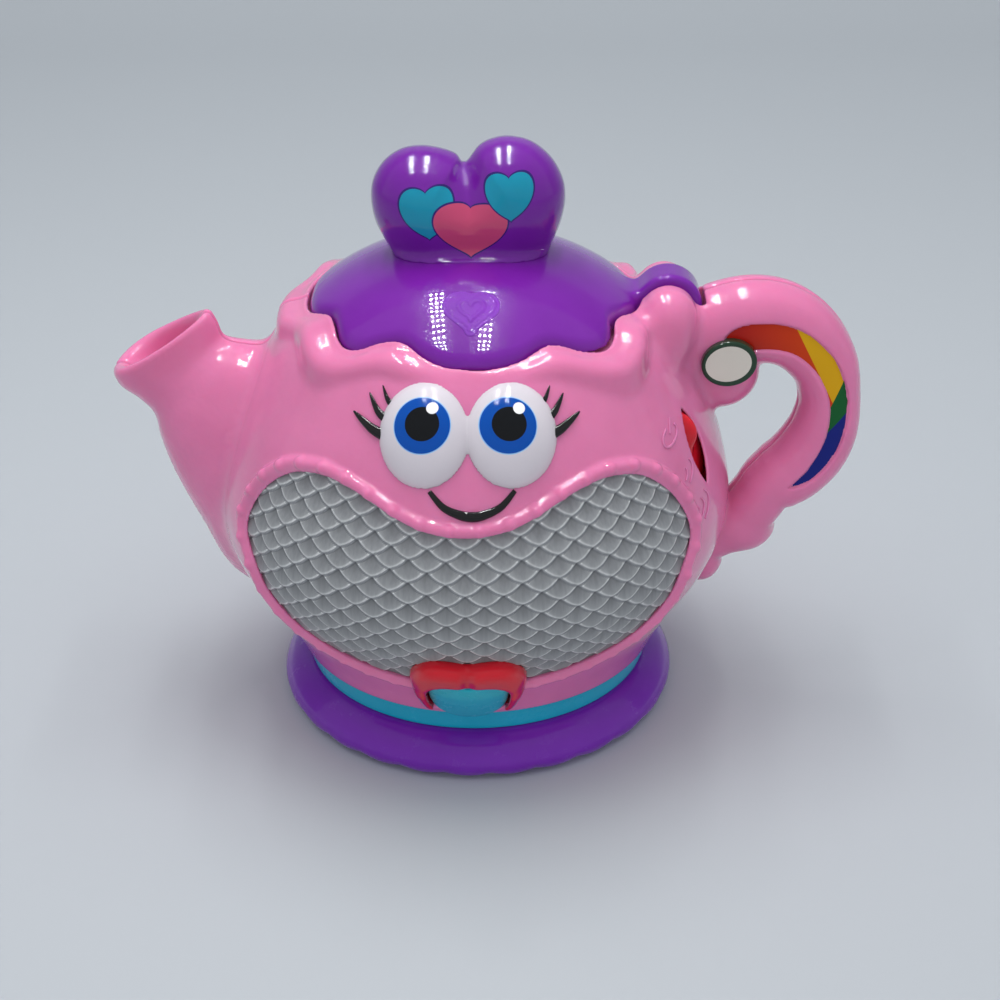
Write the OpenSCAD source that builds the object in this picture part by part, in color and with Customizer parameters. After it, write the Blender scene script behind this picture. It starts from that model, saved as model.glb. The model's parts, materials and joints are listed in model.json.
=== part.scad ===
// Toy teapot: a moulded pink pot in two halves on a purple battery base, with a hinged purple lid,
// a frosted light window, a heart button, a volume slider and a rainbow on the handle.
// The pot stands on z = 0 and faces -Y, with the spout towards -X and the handle towards +X.

/* [Pot] */
// Largest radius of the pot
pot_r = 87; // [80:1:95]
// Height of the pot's skin from the band to the top of the dome
pot_h = 142; // [130:1:155]
// Thickness of the moulded shells
wall = 2.4; // [1.8:0.1:3]
// How far the wavy collar stands out of the pot's skin
collar_t = 2.6; // [1.5:0.1:4]
// Width of the collar, seen from above
collar_w = 10; // [7:0.5:13]

/* [Base] */
// Radius of the foot
foot_r = 70; // [66:1:76]
// Height of the foot
foot_h = 15; // [13:0.5:18]
// Radius of the teal band
band_r = 60.5; // [57:0.5:62]
// Height of the teal band
band_h = 8; // [6:0.5:10]
// Number of scallops round the foot's rim
scallops = 26; // [20:1:32]

/* [Spout] */
// How far the spout stands out of the pot
spout_out = 33.7; // [28:0.5:40]
// Width of the spout at its root
spout_w = 56; // [50:1:60]
// Depth of the mouth
mouth_depth = 11; // [8:0.5:13]

/* [Handle] */
// How far the handle stands out of the pot
handle_out = 43.7; // [40:0.5:50]
// Thickness of the handle where it is thickest
handle_t = 29; // [26:0.5:31]
// Width of the handle
handle_w = 27; // [24:0.5:31]
// Depth of the recess for the rainbow
rainbow_depth = 1.2; // [0.8:0.1:1.6]
// Width of the oval badge
badge_w = 17.5; // [15:0.5:19]
// Height of the oval badge
badge_h = 15; // [13:0.5:16]

/* [Lid] */
// Number of lobes round the lid's edge
lobes = 8; // [6:1:10]
// Reach of the lid's lobes from the middle, as a share of the pot's radius
lid_share = 0.632; // [0.6:0.004:0.65]
// Radius of the hinge pin
pin_r = 2; // [1.6:0.1:2.4]
// Radius of the lid's hinge knuckle
knuckle_r = 9.6; // [8.5:0.1:10]
// Extra room beside the hinge, where the opening lid swings outwards
hinge_ease = 3; // [2.8:0.1:4]
// Length of the lid's hinge knuckle
knuckle_l = 14; // [12:0.5:18]
// Width of the heart knob
knob_w = 61; // [54:1:66]
// Height of the heart knob
knob_h = 36; // [32:1:42]
// Thickness of the heart knob
knob_t = 34; // [30:1:38]
// Tilt of the heart knob
knob_tilt = 4.5; // [0:0.5:8]
// Width of the heart emblem on the lid
emblem_w = 17; // [14:0.5:20]

/* [Window] */
// Width of the light window, as a share of the pot's width
window_w_share = 0.816; // [0.77:0.005:0.84]
// Height of the light window, as a share of the pot's height
window_h_share = 0.507; // [0.47:0.005:0.52]
// Height of the window's lower edge, as a share of the pot's height
window_z_share = 0.12; // [0.1:0.005:0.14]
// Width of the beaded frame round the window
frame_w = 4.6; // [3.5:0.1:6]
// How far the beaded frame stands out
frame_t = 1.8; // [1.2:0.1:3]

/* [Face] */
// Width of one eye
eye_w = 27; // [24:0.5:29]
// Height of one eye, seen from the front
eye_h = 30; // [27:0.5:32]
// How far the eyes stand out of the pot
eye_t = 4.2; // [3:0.1:5]
// Height of the eyes' middle, as a share of the pot's height
eye_z_share = 0.736; // [0.72:0.004:0.75]
// Width of the mouth line
smile_w = 26; // [22:0.5:30]

/* [Button] */
// Width of the heart bezel
bezel_w = 38; // [34:0.5:40]
// Height of the heart bezel
bezel_h = 34; // [30:0.5:36]
// Height of the bezel's middle above the pot's bottom
bezel_z = 14.5; // [12:0.5:17]
// Rim width of the bezel
bezel_rim = 5.2; // [4:0.1:6.5]
// How far the button presses in
press = 2; // [1:0.1:2.5]

/* [Slider] */
// Direction of the slider, round from the front
slider_turn = 65; // [60:1:68]
// Height of the slider's middle, as a share of the pot's height
slider_z_share = 0.592; // [0.56:0.004:0.62]
// Length of the slider's slot
slot_l = 26; // [24:0.5:30]
// Width of the slider's slot
slot_w = 8.4; // [7:0.1:10]
// Travel of the slider
slide = 12; // [9:0.5:14]

/* [Power] */
// Diameter of one cell
cell_d = 14.2; // [13.8:0.1:14.5]
// Length of one cell
cell_l = 50; // [49:0.5:51]
// Diameter of the speaker
speaker_d = 40; // [36:1:44]
// Diameter of the holes over the speaker
grille_hole_d = 2.6; // [2:0.1:3]

/* [Fit] */
// Gap between pieces that are fixed together
gap = 0.25; // [0.15:0.05:0.4]
// Gap between pieces that move past each other
running_gap = 0.5; // [0.4:0.05:0.8]
// Radial clearance of the hinge pin
pin_gap = 0.06; // [0.03:0.01:0.1]
// Shank radius of the screws
screw_r = 1.5; // [1.2:0.1:1.7]

/* [Hidden] */
overrun = 1;
fine = 96;
sides = 22;
pot_z = foot_h + band_h;
lobe_reach = lid_share * pot_r;
window_w = 2 * window_w_share * pot_r;
window_h = window_h_share * pot_h;
window_z = window_z_share * pot_h;
eye_z = eye_z_share * pot_h;
slider_z = slider_z_share * pot_h;
// Skin of the pot and the dome in one line, as shares of the radius and the height
skin_shares = [[0.725, 0], [0.762, 0.05], [0.806, 0.1], [0.858, 0.155], [0.932, 0.225], [0.988, 0.315],
               [1, 0.4], [0.976, 0.485], [0.932, 0.57], [0.872, 0.655], [0.795, 0.74], [0.718, 0.81],
               [0.66, 0.85], [0.575, 0.9], [0.45, 0.95], [0.25, 0.985], [0, 1]];
// Spout sections: lower edge out and up, upper edge out and up, and the width
spout_shares = [[-0.80, 0.05, -1.30, 0.72, 1], [-0.074, 0.153, -0.78, 0.735, 0.98],
                [0.246, 0.298, -0.50, 0.74, 0.84], [0.463, 0.421, -0.32, 0.745, 0.74],
                [0.57, 0.511, -0.21, 0.752, 0.66], [0.641, 0.581, -0.13, 0.762, 0.62],
                [0.786, 0.62, -0.074, 0.778, 0.64], [0.947, 0.655, -0.03, 0.81, 0.67],
                [1, 0.69, 0.021, 0.83, 0.66]];
// Handle stations: out, up, thickness and width
handle_shares = [[-0.46, 0.735, 0.95, 1], [-0.07, 0.79, 1, 1], [0.229, 0.80, 0.985, 1],
                 [0.481, 0.768, 0.9, 0.97], [0.675, 0.697, 0.78, 0.92], [0.755, 0.613, 0.725, 0.88],
                 [0.751, 0.528, 0.745, 0.88], [0.664, 0.454, 0.81, 0.9], [0.503, 0.391, 0.85, 0.92],
                 [0.32, 0.335, 0.82, 0.94], [0.114, 0.282, 0.87, 0.98], [-0.12, 0.232, 0.9, 1],
                 [-0.42, 0.2, 0.85, 1]];
// Right half of the window's outline, from the top notch round to the bottom
window_shares = [[0, 0.82], [0.15, 0.855], [0.30, 0.925], [0.45, 0.985], [0.60, 1], [0.75, 0.965],
                 [0.88, 0.86], [0.97, 0.72], [1, 0.6], [0.965, 0.47], [0.89, 0.3], [0.72, 0.14],
                 [0.5, 0.06], [0.25, 0.015]];

function skin_r(z) = pot_r * lookup((z - pot_z) / pot_h, [for (p = skin_shares) [p[1], p[0]]]);

// Smooth closed or open line through points
function spline_point(a, b, c, d, t) =
    0.5 * (2 * b + (c - a) * t + (2 * a - 5 * b + 4 * c - d) * t * t + (3 * b - a - 3 * c + d) * t * t * t);
function open_line(p, steps) = let (n = len(p) - 1) [
    for (i = [0:n - 1], s = [0:steps - 1])
        spline_point(p[max(i - 1, 0)], p[i], p[i + 1], p[min(i + 2, n)], s / steps), p[n]];
function closed_line(p, steps) = let (n = len(p)) [
    for (i = [0:n - 1], s = [0:steps - 1])
        spline_point(p[(i + n - 1) % n], p[i], p[(i + 1) % n], p[(i + 2) % n], s / steps)];

// Solid inside the pot's skin, moved out by grow, between two heights
module pot_solid(grow, low, high) {
    line = open_line([for (p = skin_shares) [max(p[0] * pot_r + grow, 0), pot_z + p[1] * (pot_h + grow)]], 2);
    rotate_extrude($fn = fine)
        intersection() {
            polygon([[0, pot_z], each line]);
            translate([0, low]) square([2 * pot_r, high - low]);
        }
}

// Closed tube through rings that have the same number of points
module loft(rings) {
    n = len(rings[0]);
    m = len(rings);
    polyhedron(
        [for (r = rings) each r],
        [[for (i = [n - 1:-1:0]) i], [for (i = [0:n - 1]) (m - 1) * n + i],
         for (k = [0:m - 2], i = [0:n - 1], half = [0, 1])
             half == 0 ? [k * n + i, k * n + (i + 1) % n, (k + 1) * n + i]
                       : [k * n + (i + 1) % n, (k + 1) * n + (i + 1) % n, (k + 1) * n + i]]);
}

// Flat outline on the front view, cut or raised from the inside out
module from_front(start, reach) {
    translate([0, -start, 0]) rotate([90, 0, 0]) linear_extrude(reach) children();
}

// Heart outline: the sine-cubed curve, whose height runs from -17 to 12 of its own units
heart_steps = 44;
heart_low = 17;
heart_span = 29;
module heart(w, h) {
    polygon([for (i = [0:heart_steps - 1]) let (t = (i + 0.5) * 360 / heart_steps)
        [w / 2 * pow(sin(t), 3),
         h * ((13 * cos(t) - 5 * cos(2 * t) - 2 * cos(3 * t) - cos(4 * t) + heart_low) / heart_span - 0.5)]]);
}

// Lobed outline of the lid and the collar
module lobed(grow) {
    lobe_r = lobe_reach * 0.36;
    circle(lobe_reach - lobe_r * 0.25 + grow, $fn = fine);
    for (i = [0:lobes - 1]) rotate(-90 + i * 360 / lobes)
        translate([lobe_reach - lobe_r, 0]) circle(lobe_r + grow, $fn = fine);
}

// Light window's outline
window_points = let (right = [for (p = window_shares) p],
                     left = [for (i = [len(window_shares) - 1:-1:1]) [-window_shares[i][0], window_shares[i][1]]])
                closed_line(concat(right, [[0, 0]], left), 2);
module window_outline(grow) {
    polygon([for (p = window_points) [p[0] * (window_w / 2 + grow),
                                      pot_z + window_z - grow + p[1] * (window_h + 2 * grow)]]);
}

module eye_outline(grow) {
    for (s = [-1, 1]) translate([s * eye_w * 0.485, pot_z + eye_z])
        scale([(eye_w + 2 * grow) / (eye_h + 2 * grow), 1]) circle(eye_h / 2 + grow, $fn = fine);
}

// Section of the spout between a lower and an upper point on the middle plane
function spout_ring(p, inset, taper) = let (
    low = [-pot_r - p[0] * spout_out, pot_z + p[1] * pot_h],
    high = [-pot_r - p[2] * spout_out, pot_z + p[3] * pot_h],
    middle = (low + high) / 2,
    reach = (high - low) / 2,
    long = norm(reach) - inset,
    wide = p[4] * spout_w / 2 - inset)
    [for (i = [0:sides - 1]) let (a = -i * 360 / sides, along = cos(a), pull = 1 - taper * (1 + along) / 2)
        [middle[0] + reach[0] / norm(reach) * long * along, wide * sin(a) * pull,
         middle[1] + reach[1] / norm(reach) * long * along]];
mouth_taper_share = 0.45;
spout_last = len(spout_shares) - 1;
module spout_body() {
    loft([for (k = [0:spout_last]) spout_ring(spout_shares[k], 0, mouth_taper_share * k / spout_last)]);
}
module spout_hollow() {
    loft([for (k = [0:spout_last - 3]) spout_ring(spout_shares[k], wall, mouth_taper_share * k / spout_last)]);
}
// The mouth is sunk along the last section's own direction
module spout_mouth() {
    tip = spout_shares[spout_last];
    across = [-(tip[2] - tip[0]) * spout_out, (tip[3] - tip[1]) * pot_h];
    up = [-across[1], across[0]] / norm(across);
    ring = spout_ring(tip, wall * 1.15, mouth_taper_share);
    floor_ring = spout_ring(tip, wall * 1.9, mouth_taper_share);
    loft([[for (q = floor_ring) q - [up[0], 0, up[1]] * mouth_depth],
          [for (q = ring) q + [up[0], 0, up[1]] * overrun]]);
}

handle_last = len(handle_shares) - 1;
handle_middle = [for (p = handle_shares) [pot_r + p[0] * handle_out, pot_z + p[1] * pot_h]];
function handle_ring(k, inset) = let (
    way = handle_middle[min(k + 1, handle_last)] - handle_middle[max(k - 1, 0)],
    side = [-way[1], way[0]] / norm(way),
    thick = handle_shares[k][2] * handle_t / 2 - inset,
    wide = handle_shares[k][3] * handle_w / 2 - inset)
    [for (i = [0:sides - 1]) let (a = i * 360 / sides)
        [handle_middle[k][0] + side[0] * thick * cos(a), wide * sin(a), handle_middle[k][1] + side[1] * thick * cos(a)]];
module handle_solid(inset) {
    loft([for (k = [0:handle_last]) handle_ring(k, inset)]);
}

hinge_x = skin_r(pot_z + 0.81 * pot_h) + pin_r;
hinge_z = pot_z + 0.848 * pot_h;
lid_z = pot_z + 0.845 * pot_h;
shelf_z = lid_z - 1.6;
cheek_r = knuckle_r * 0.88;
cheek_l = knuckle_l * 0.62;
well_r = lobe_reach * 0.86;

// Shell screws: out along X and up, as shares of the pot's radius and height
screw_shares = [[-0.52, 0.06], [0.52, 0.06], [-0.58, 0.72], [0.58, 0.72]];
screw_head_r = screw_r * 2;
boss_r = screw_head_r + wall / 2;
boss_floor = 4 * screw_r;
module along_y(from, to, r) {
    translate([0, from, 0]) rotate([-90, 0, 0]) cylinder(h = to - from, r = r, $fn = fine);
}
module at_shell_screws() {
    for (p = screw_shares) translate([p[0] * pot_r, 0, pot_z + p[1] * pot_h]) children();
}
base_screw_r = band_r - wall - 5 * screw_r;
module at_base_screws() {
    for (a = [45:90:315]) rotate(a) translate([base_screw_r, 0, 0]) children();
}

slider_slope = atan2(skin_r(pot_z + slider_z - slide) - skin_r(pot_z + slider_z + slide), 2 * slide);
module at_slider() {
    rotate([0, 0, slider_turn]) translate([0, -skin_r(pot_z + slider_z), pot_z + slider_z])
        rotate([-slider_slope, 0, 0]) children();
}
// Slot with pointed ends, drawn on the slider's own face
module slot_outline(w, l) {
    bow = (l * l / w + w) / 4;
    intersection_for(s = [-1, 1]) translate([s * (bow - w / 2), 0]) circle(bow, $fn = fine);
}

bezel_front = skin_r(pot_z + bezel_z + bezel_h * 0.45) + 3;
bezel_inner_w = bezel_w - 2 * bezel_rim;
bezel_inner_h = bezel_h - 2 * bezel_rim;
sleeve_t = wall * 0.7;
sleeve_back = skin_r(pot_z) - 5 * wall;
module at_bezel() {
    translate([0, pot_z + bezel_z]) children();
}

speaker_z = pot_z + 0.42 * pot_h;
speaker_seat = pot_r - 13;
grille_rings = 4;
module grille() {
    along_y(0, 2 * pot_r, grille_hole_d / 2);
    for (k = [1:grille_rings], i = [0:6 * k - 1]) rotate([0, i * 60 / k, 0])
        translate([k * speaker_d * 0.1, 0, 0]) along_y(0, 2 * pot_r, grille_hole_d / 2);
}

module half_space(side) {
    translate([-2 * pot_r, side < 0 ? -2 * pot_r : 0, -overrun]) cube([4 * pot_r, 2 * pot_r, 2 * pot_h]);
}

// Wavy collar round the lid, moved out by grow
module collar(grow) {
    intersection() {
        pot_solid(collar_t + grow, pot_z, pot_z + pot_h);
        translate([0, 0, pot_z]) linear_extrude(pot_h) difference() {
            lobed(collar_w + grow);
            lobed(-overrun);
        }
    }
}

// What both halves share before the cut on the middle plane
module shell_skin() {
    difference() {
        union() {
            pot_solid(0, pot_z, lid_z);
            collar(0);
            spout_body();
            handle_solid(0);
            translate([hinge_x, 0, hinge_z]) {
                along_y(-knuckle_l / 2 - cheek_l, knuckle_l / 2 + cheek_l, cheek_r);
            }
        }
        pot_solid(-wall, pot_z - overrun, shelf_z - wall);
        spout_hollow();
        spout_mouth();
        handle_solid(wall);
        translate([0, 0, shelf_z - 2 * wall]) cylinder(h = pot_h, r = well_r, $fn = fine);
        translate([0, 0, shelf_z]) linear_extrude(pot_h) lobed(running_gap);
        translate([hinge_ease, 0, lid_z]) linear_extrude(pot_h) lobed(running_gap);
        translate([hinge_x, 0, hinge_z]) {
            along_y(-knuckle_l / 2 - running_gap, knuckle_l / 2 + running_gap, knuckle_r + running_gap);
            along_y(-knuckle_l / 2 - cheek_l * 0.7, knuckle_l / 2 + cheek_l * 0.7, pin_r + pin_gap);
        }
        translate([0, -knuckle_l / 2 - running_gap, hinge_z])
            cube([hinge_x, knuckle_l + 2 * running_gap, pot_h]);
    }
}

// Post for a base screw with a rib to the wall
module base_posts() {
    intersection() {
        pot_solid(-wall / 2, pot_z, pot_z + 0.16 * pot_h);
        at_base_screws() {
            cylinder(h = pot_h, r = boss_r, $fn = fine);
            translate([0, -wall / 2, 0]) cube([pot_r, wall, pot_h]);
        }
    }
}

module front_shell() {
    color("#E77FB4") difference() {
        union() {
            intersection() {
                shell_skin();
                half_space(-1);
            }
            intersection() {
                difference() {
                    pot_solid(frame_t, pot_z, lid_z);
                    pot_solid(-wall / 2, pot_z - overrun, lid_z + overrun);
                }
                from_front(overrun, 2 * pot_r) difference() {
                    window_outline(frame_w);
                    window_outline(0);
                }
            }
            intersection() {
                base_posts();
                half_space(-1);
            }
            intersection() {
                pot_solid(-wall / 2, pot_z, shelf_z - wall);
                at_shell_screws() along_y(-pot_r, 0, boss_r);
            }
        }
        from_front(overrun + wall, 2 * pot_r) window_outline(0);
        from_front(overrun + wall, 2 * pot_r) at_bezel() heart(bezel_inner_w + 2 * sleeve_t + 2 * gap, bezel_inner_h + 2 * sleeve_t + 2 * gap);
        at_shell_screws() along_y(-5 * screw_r, overrun, screw_r + pin_gap);
        at_base_screws() translate([0, 0, pot_z - overrun]) cylinder(h = 8 * screw_r, r = screw_r + pin_gap, $fn = fine);
        at_slider() translate([0, wall * 2, 0]) rotate([90, 0, 0]) linear_extrude(4 * wall) slot_outline(slot_w, slot_l);
        difference() {
            from_front(rainbow_depth, handle_w) rainbow_outline(gap);
            handle_solid(rainbow_depth);
        }
    }
}

module back_shell() {
    color("#D56FA4") difference() {
        union() {
            intersection() {
                shell_skin();
                half_space(1);
            }
            intersection() {
                base_posts();
                half_space(1);
            }
            intersection() {
                pot_solid(-wall / 2, pot_z, shelf_z - wall);
                union() {
                    at_shell_screws() along_y(0, pot_r, boss_r);
                    translate([0, 0, speaker_z]) along_y(speaker_seat, pot_r, speaker_d / 2 + wall);
                }
            }
        }
        at_shell_screws() {
            along_y(-overrun, pot_r, screw_r + pin_gap);
            along_y(boss_floor, 2 * pot_r, screw_head_r + gap);
        }
        at_base_screws() translate([0, 0, pot_z - overrun]) cylinder(h = 8 * screw_r, r = screw_r + pin_gap, $fn = fine);
        intersection() {
            pot_solid(-wall, pot_z, lid_z);
            translate([0, 0, speaker_z]) along_y(speaker_seat - overrun, pot_r, speaker_d / 2);
        }
        translate([0, 0, speaker_z]) grille();
    }
}

// Rainbow: a band along the handle that starts behind the badge and ends in a tip
rainbow_first = 1;
rainbow_out_share = 0.36;
rainbow_in_share = -0.3;
module rainbow_outline(grow) {
    n = handle_last - 3;
    outer = [for (k = [rainbow_first:n]) rainbow_point(k, rainbow_out_share, grow)];
    inner = [for (k = [n:-1:rainbow_first]) rainbow_point(k, rainbow_in_share + 0.3 * max(0, k - n + 2), -grow)];
    polygon(concat(open_line(outer, 3), open_line(inner, 3)));
}
function rainbow_point(k, share, grow) = let (
    way = handle_middle[k + 1] - handle_middle[k - 1],
    side = [-way[1], way[0]] / norm(way))
    handle_middle[k] + side * (share * handle_shares[k][2] * handle_t / 2 + grow);

module rainbow_inlay() {
    color("#C8940A") difference() {
        intersection() {
            from_front(rainbow_depth, handle_w) rainbow_outline(0);
            handle_solid(gap);
        }
        handle_solid(rainbow_depth - gap);
    }
}

module window_lens() {
    color("#A8ABAE") difference() {
        union() {
            intersection() {
                pot_solid(0, pot_z, lid_z);
                from_front(overrun + wall, 2 * pot_r) window_outline(-gap);
            }
            intersection() {
                pot_solid(-wall - gap, pot_z, lid_z);
                from_front(overrun + wall, 2 * pot_r) window_outline(frame_w * 0.2);
            }
        }
        pot_solid(-wall - 1.2, pot_z - overrun, lid_z + overrun);
        from_front(overrun, 2 * pot_r) at_bezel() heart(bezel_inner_w + 2 * sleeve_t + 4 * gap, bezel_inner_h + 2 * sleeve_t + 4 * gap);
    }
}

reflector_depth = wall + 1.2 + gap;
module light_reflector() {
    color("#E8E8EA") difference() {
        intersection() {
            pot_solid(-reflector_depth, pot_z, lid_z);
            from_front(pot_r * 0.3, 2 * pot_r) window_outline(-frame_w * 0.5);
        }
        difference() {
            pot_solid(-reflector_depth - 1.5, pot_z - overrun, lid_z + overrun);
            for (s = [-1, 1]) translate([s * lamp_board_w * 0.4, 0, lamp_board_z]) along_y(-pot_r, -lamp_board_y, 2 * screw_r);
        }
        from_front(overrun, 2 * pot_r) at_bezel() heart(bezel_inner_w + 2 * sleeve_t + 4 * gap, bezel_inner_h + 2 * sleeve_t + 4 * gap);
    }
}

lamp_board_w = window_w * 0.5;
lamp_board_h = window_h * 0.3;
lamp_board_z = pot_z + window_z + window_h * 0.62;
lamp_board_y = pot_r * 0.62;
board_t = 1.6;
lamp_r = 2.5;
module lamp_board() {
    color("#1F7A4A") {
        translate([-lamp_board_w / 2, -lamp_board_y, lamp_board_z - lamp_board_h / 2])
            cube([lamp_board_w, board_t, lamp_board_h]);
    }
    color("#F4F4F0") for (x = [-0.2, 0, 0.2]) translate([x * lamp_board_w, 0, lamp_board_z])
        along_y(-lamp_board_y - 2 * lamp_r, -lamp_board_y, lamp_r);
}

module lid_dome() {
    color("#7D22B0") difference() {
        union() {
            intersection() {
                pot_solid(0, lid_z, pot_z + pot_h);
                translate([0, 0, lid_z]) linear_extrude(pot_h) lobed(0);
            }
            translate([hinge_x, 0, hinge_z]) along_y(-knuckle_l / 2, knuckle_l / 2, knuckle_r);
            intersection() {
                translate([lobe_reach * 0.7, -knuckle_l / 2, hinge_z]) cube([hinge_x - lobe_reach * 0.7, knuckle_l, knuckle_r]);
                pot_solid(knuckle_r * 0.4, hinge_z, pot_z + pot_h);
            }
        }
        intersection() {
            pot_solid(-wall, lid_z - overrun, pot_z + pot_h);
            cylinder(h = 2 * pot_h, r = lobe_reach * 0.82, $fn = fine);
        }
        translate([hinge_x, 0, hinge_z]) along_y(-knuckle_l, knuckle_l, pin_r + pin_gap);
        cylinder(h = 2 * pot_h, r = screw_r + pin_gap, $fn = fine);
        from_front(lobe_reach * 0.3, pot_r) translate([0, emblem_z]) heart(emblem_w, emblem_w * 0.8);
    }
}

emblem_z = pot_z + 0.925 * pot_h;
module lid_emblem() {
    color("#9A7FC0") intersection() {
        difference() {
            pot_solid(0, lid_z, pot_z + pot_h);
            pot_solid(-wall, lid_z - overrun, pot_z + pot_h);
        }
        from_front(lobe_reach * 0.3, pot_r) translate([0, emblem_z]) heart(emblem_w - 2 * gap, emblem_w * 0.8 - 2 * gap);
    }
}

knob_z = pot_z + pot_h - wall;
knob_lobe = [knob_w * 0.27, knob_t / 2, knob_h * 0.47];
knob_root = [knob_w * 0.31, knob_t * 0.46, knob_h * 0.4];
module heart_knob() {
    color("#7D22B0") difference() {
        translate([0, 0, knob_z]) rotate([0, -knob_tilt, 0]) for (s = [-1, 1]) hull() {
            translate([s * (knob_w / 2 - knob_lobe[0]), 0, knob_h - knob_lobe[2]])
                scale(knob_lobe) sphere(1, $fn = 32);
            translate([s * knob_w * 0.06, 0, -knob_root[2] * 0.8])
                scale(knob_root) sphere(1, $fn = 24);
        }
        pot_solid(gap, pot_z, pot_z + pot_h + gap);
        cylinder(h = knob_z + knob_h * 0.45, r = screw_r + pin_gap, $fn = fine);
    }
}

module screw(length) {
    translate([0, 0, -screw_r]) cylinder(h = screw_r, r = screw_head_r, $fn = fine);
    cylinder(h = length, r = screw_r, $fn = fine);
}

module knob_screw() {
    color("#B0B4B8") translate([0, 0, pot_z + pot_h - wall - gap]) screw(knob_h * 0.4);
}

module hinge_pin() {
    color("#B0B4B8") translate([hinge_x, 0, hinge_z])
        along_y(-knuckle_l / 2 - cheek_l * 0.68, knuckle_l / 2 + cheek_l * 0.68, pin_r);
}

well_depth = pot_h * 0.17;
module tea_well() {
    flange_t = lid_z - shelf_z - gap;
    color("#9A5CC0") translate([0, 0, shelf_z]) difference() {
        union() {
            translate([0, 0, -well_depth]) cylinder(h = well_depth, r1 = well_r - 2 * wall, r2 = well_r - gap, $fn = fine);
            cylinder(h = flange_t, r = well_r + wall * 0.6, $fn = fine);
        }
        translate([0, 0, wall - well_depth])
            cylinder(h = well_depth + lid_z - shelf_z, r1 = well_r - 3 * wall, r2 = well_r - wall, $fn = fine);
    }
}

module eye_domes() {
    color("#E8E8EA") intersection() {
        difference() {
            pot_solid(eye_t, pot_z, lid_z + wall);
            pot_solid(gap, pot_z - overrun, pot_z + pot_h);
            collar(gap);
        }
        from_front(pot_r * 0.4, pot_r) eye_outline(0);
    }
}

// Three lashes beside each eye: turn round the eye's middle and length as a share of the eye's width
lash_shares = [[20, 0.34], [42, 0.28], [60, 0.2]];
lash_w = eye_w * 0.1;
lash_t = collar_t + 3 * gap;
module lash_set() {
    color("#141414") intersection() {
        difference() {
            pot_solid(lash_t, pot_z, lid_z + wall);
            pot_solid(gap, pot_z - overrun, pot_z + pot_h);
            collar(gap);
        }
        from_front(pot_r * 0.4, pot_r) difference() {
            for (s = [-1, 1], p = lash_shares) translate([s * eye_w * 0.485, pot_z + eye_z]) rotate(s > 0 ? p[0] : 180 - p[0])
                translate([eye_w * 0.4, -lash_w / 2]) square([eye_w * (0.12 + p[1]), lash_w]);
            eye_outline(gap);
        }
    }
}

smile_z = pot_z + eye_z - eye_h / 2;
smile_line = eye_w * 0.08;
module smile_outline(grow) {
    bow = smile_w * 0.62;
    intersection() {
        translate([0, smile_z + smile_w * 0.32]) difference() {
            circle(bow + smile_line / 2 + grow, $fn = fine);
            circle(bow - smile_line / 2 - grow, $fn = fine);
        }
        translate([-smile_w / 2 - grow, smile_z - smile_w]) square([smile_w + 2 * grow, smile_w * 0.92]);
    }
}
module smile_inlay() {
    color("#141414") intersection() {
        difference() {
            pot_solid(gap + 0.8, pot_z, lid_z);
            pot_solid(gap, pot_z - overrun, lid_z + overrun);
        }
        from_front(pot_r * 0.4, pot_r) smile_outline(0);
    }
}

module heart_bezel() {
    color("#D81828") difference() {
        union() {
            difference() {
                from_front(band_r * 0.9, bezel_front - band_r * 0.9) at_bezel() heart(bezel_w, bezel_h);
                pot_solid(frame_t + gap, pot_z - overrun, lid_z);
                cylinder(h = pot_z + wall, r = band_r + gap, $fn = fine);
                cylinder(h = foot_h, r = foot_r + wall, $fn = fine);
            }
            from_front(sleeve_back, bezel_front - sleeve_back - wall) at_bezel()
                heart(bezel_inner_w + 2 * sleeve_t, bezel_inner_h + 2 * sleeve_t);
        }
        from_front(sleeve_back - overrun, pot_r) at_bezel() heart(bezel_inner_w, bezel_inner_h);
    }
}

button_front = bezel_front + 1;
button_gap = running_gap * 0.6;
switch_w = 4 * press;
switch_t = 1.5 * press;
stem_l = 0.4 * press;
button_back = sleeve_back + switch_t + 2 * stem_l + press + gap;
module heart_button() {
    color("#1FA0B8") {
        intersection() {
            from_front(button_back, pot_r) at_bezel()
                heart(bezel_inner_w - 2 * button_gap, bezel_inner_h - 2 * button_gap);
            translate([0, bezel_w - button_front, pot_z + bezel_z]) sphere(bezel_w, $fn = fine);
        }
        translate([0, 0, pot_z + bezel_z]) along_y(-button_back - overrun, -button_back + stem_l, switch_w * 0.2);
    }
}

module push_switch() {
    color("#303338") translate([0, 0, pot_z + bezel_z]) {
        translate([-switch_w / 2, -sleeve_back - switch_t, -switch_w / 2]) cube([switch_w, switch_t, switch_w]);
        along_y(-sleeve_back - switch_t - stem_l, -sleeve_back, switch_w * 0.2);
        translate([-bezel_w * 0.3, gap - sleeve_back, -bezel_h * 0.3]) cube([bezel_w * 0.6, board_t, bezel_h * 0.6]);
        translate([-switch_w / 2, -sleeve_back, -switch_w / 2]) cube([switch_w, gap + board_t / 2, switch_w]);
    }
}

// Return spring round the switch: an open coil between the board and the back of the button
spring_wire = 0.4;
spring_turns = 3.5;
spring_steps = 16;
spring_sides = 6;
spring_r = switch_w * 0.75;
module button_spring() {
    front = button_back - spring_wire - gap;
    back = sleeve_back + spring_wire + gap;
    count = spring_turns * spring_steps;
    color("#B0B4B8") translate([0, 0, pot_z + bezel_z])
        loft([for (k = [0:count]) let (turn = k * 360 / spring_steps, y = -back - (front - back) * k / count)
            [for (i = [0:spring_sides - 1]) let (a = i * 360 / spring_sides, r = spring_r + spring_wire * cos(a))
                [r * cos(turn), y + spring_wire * sin(a), r * sin(turn)]]]);
}

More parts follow.
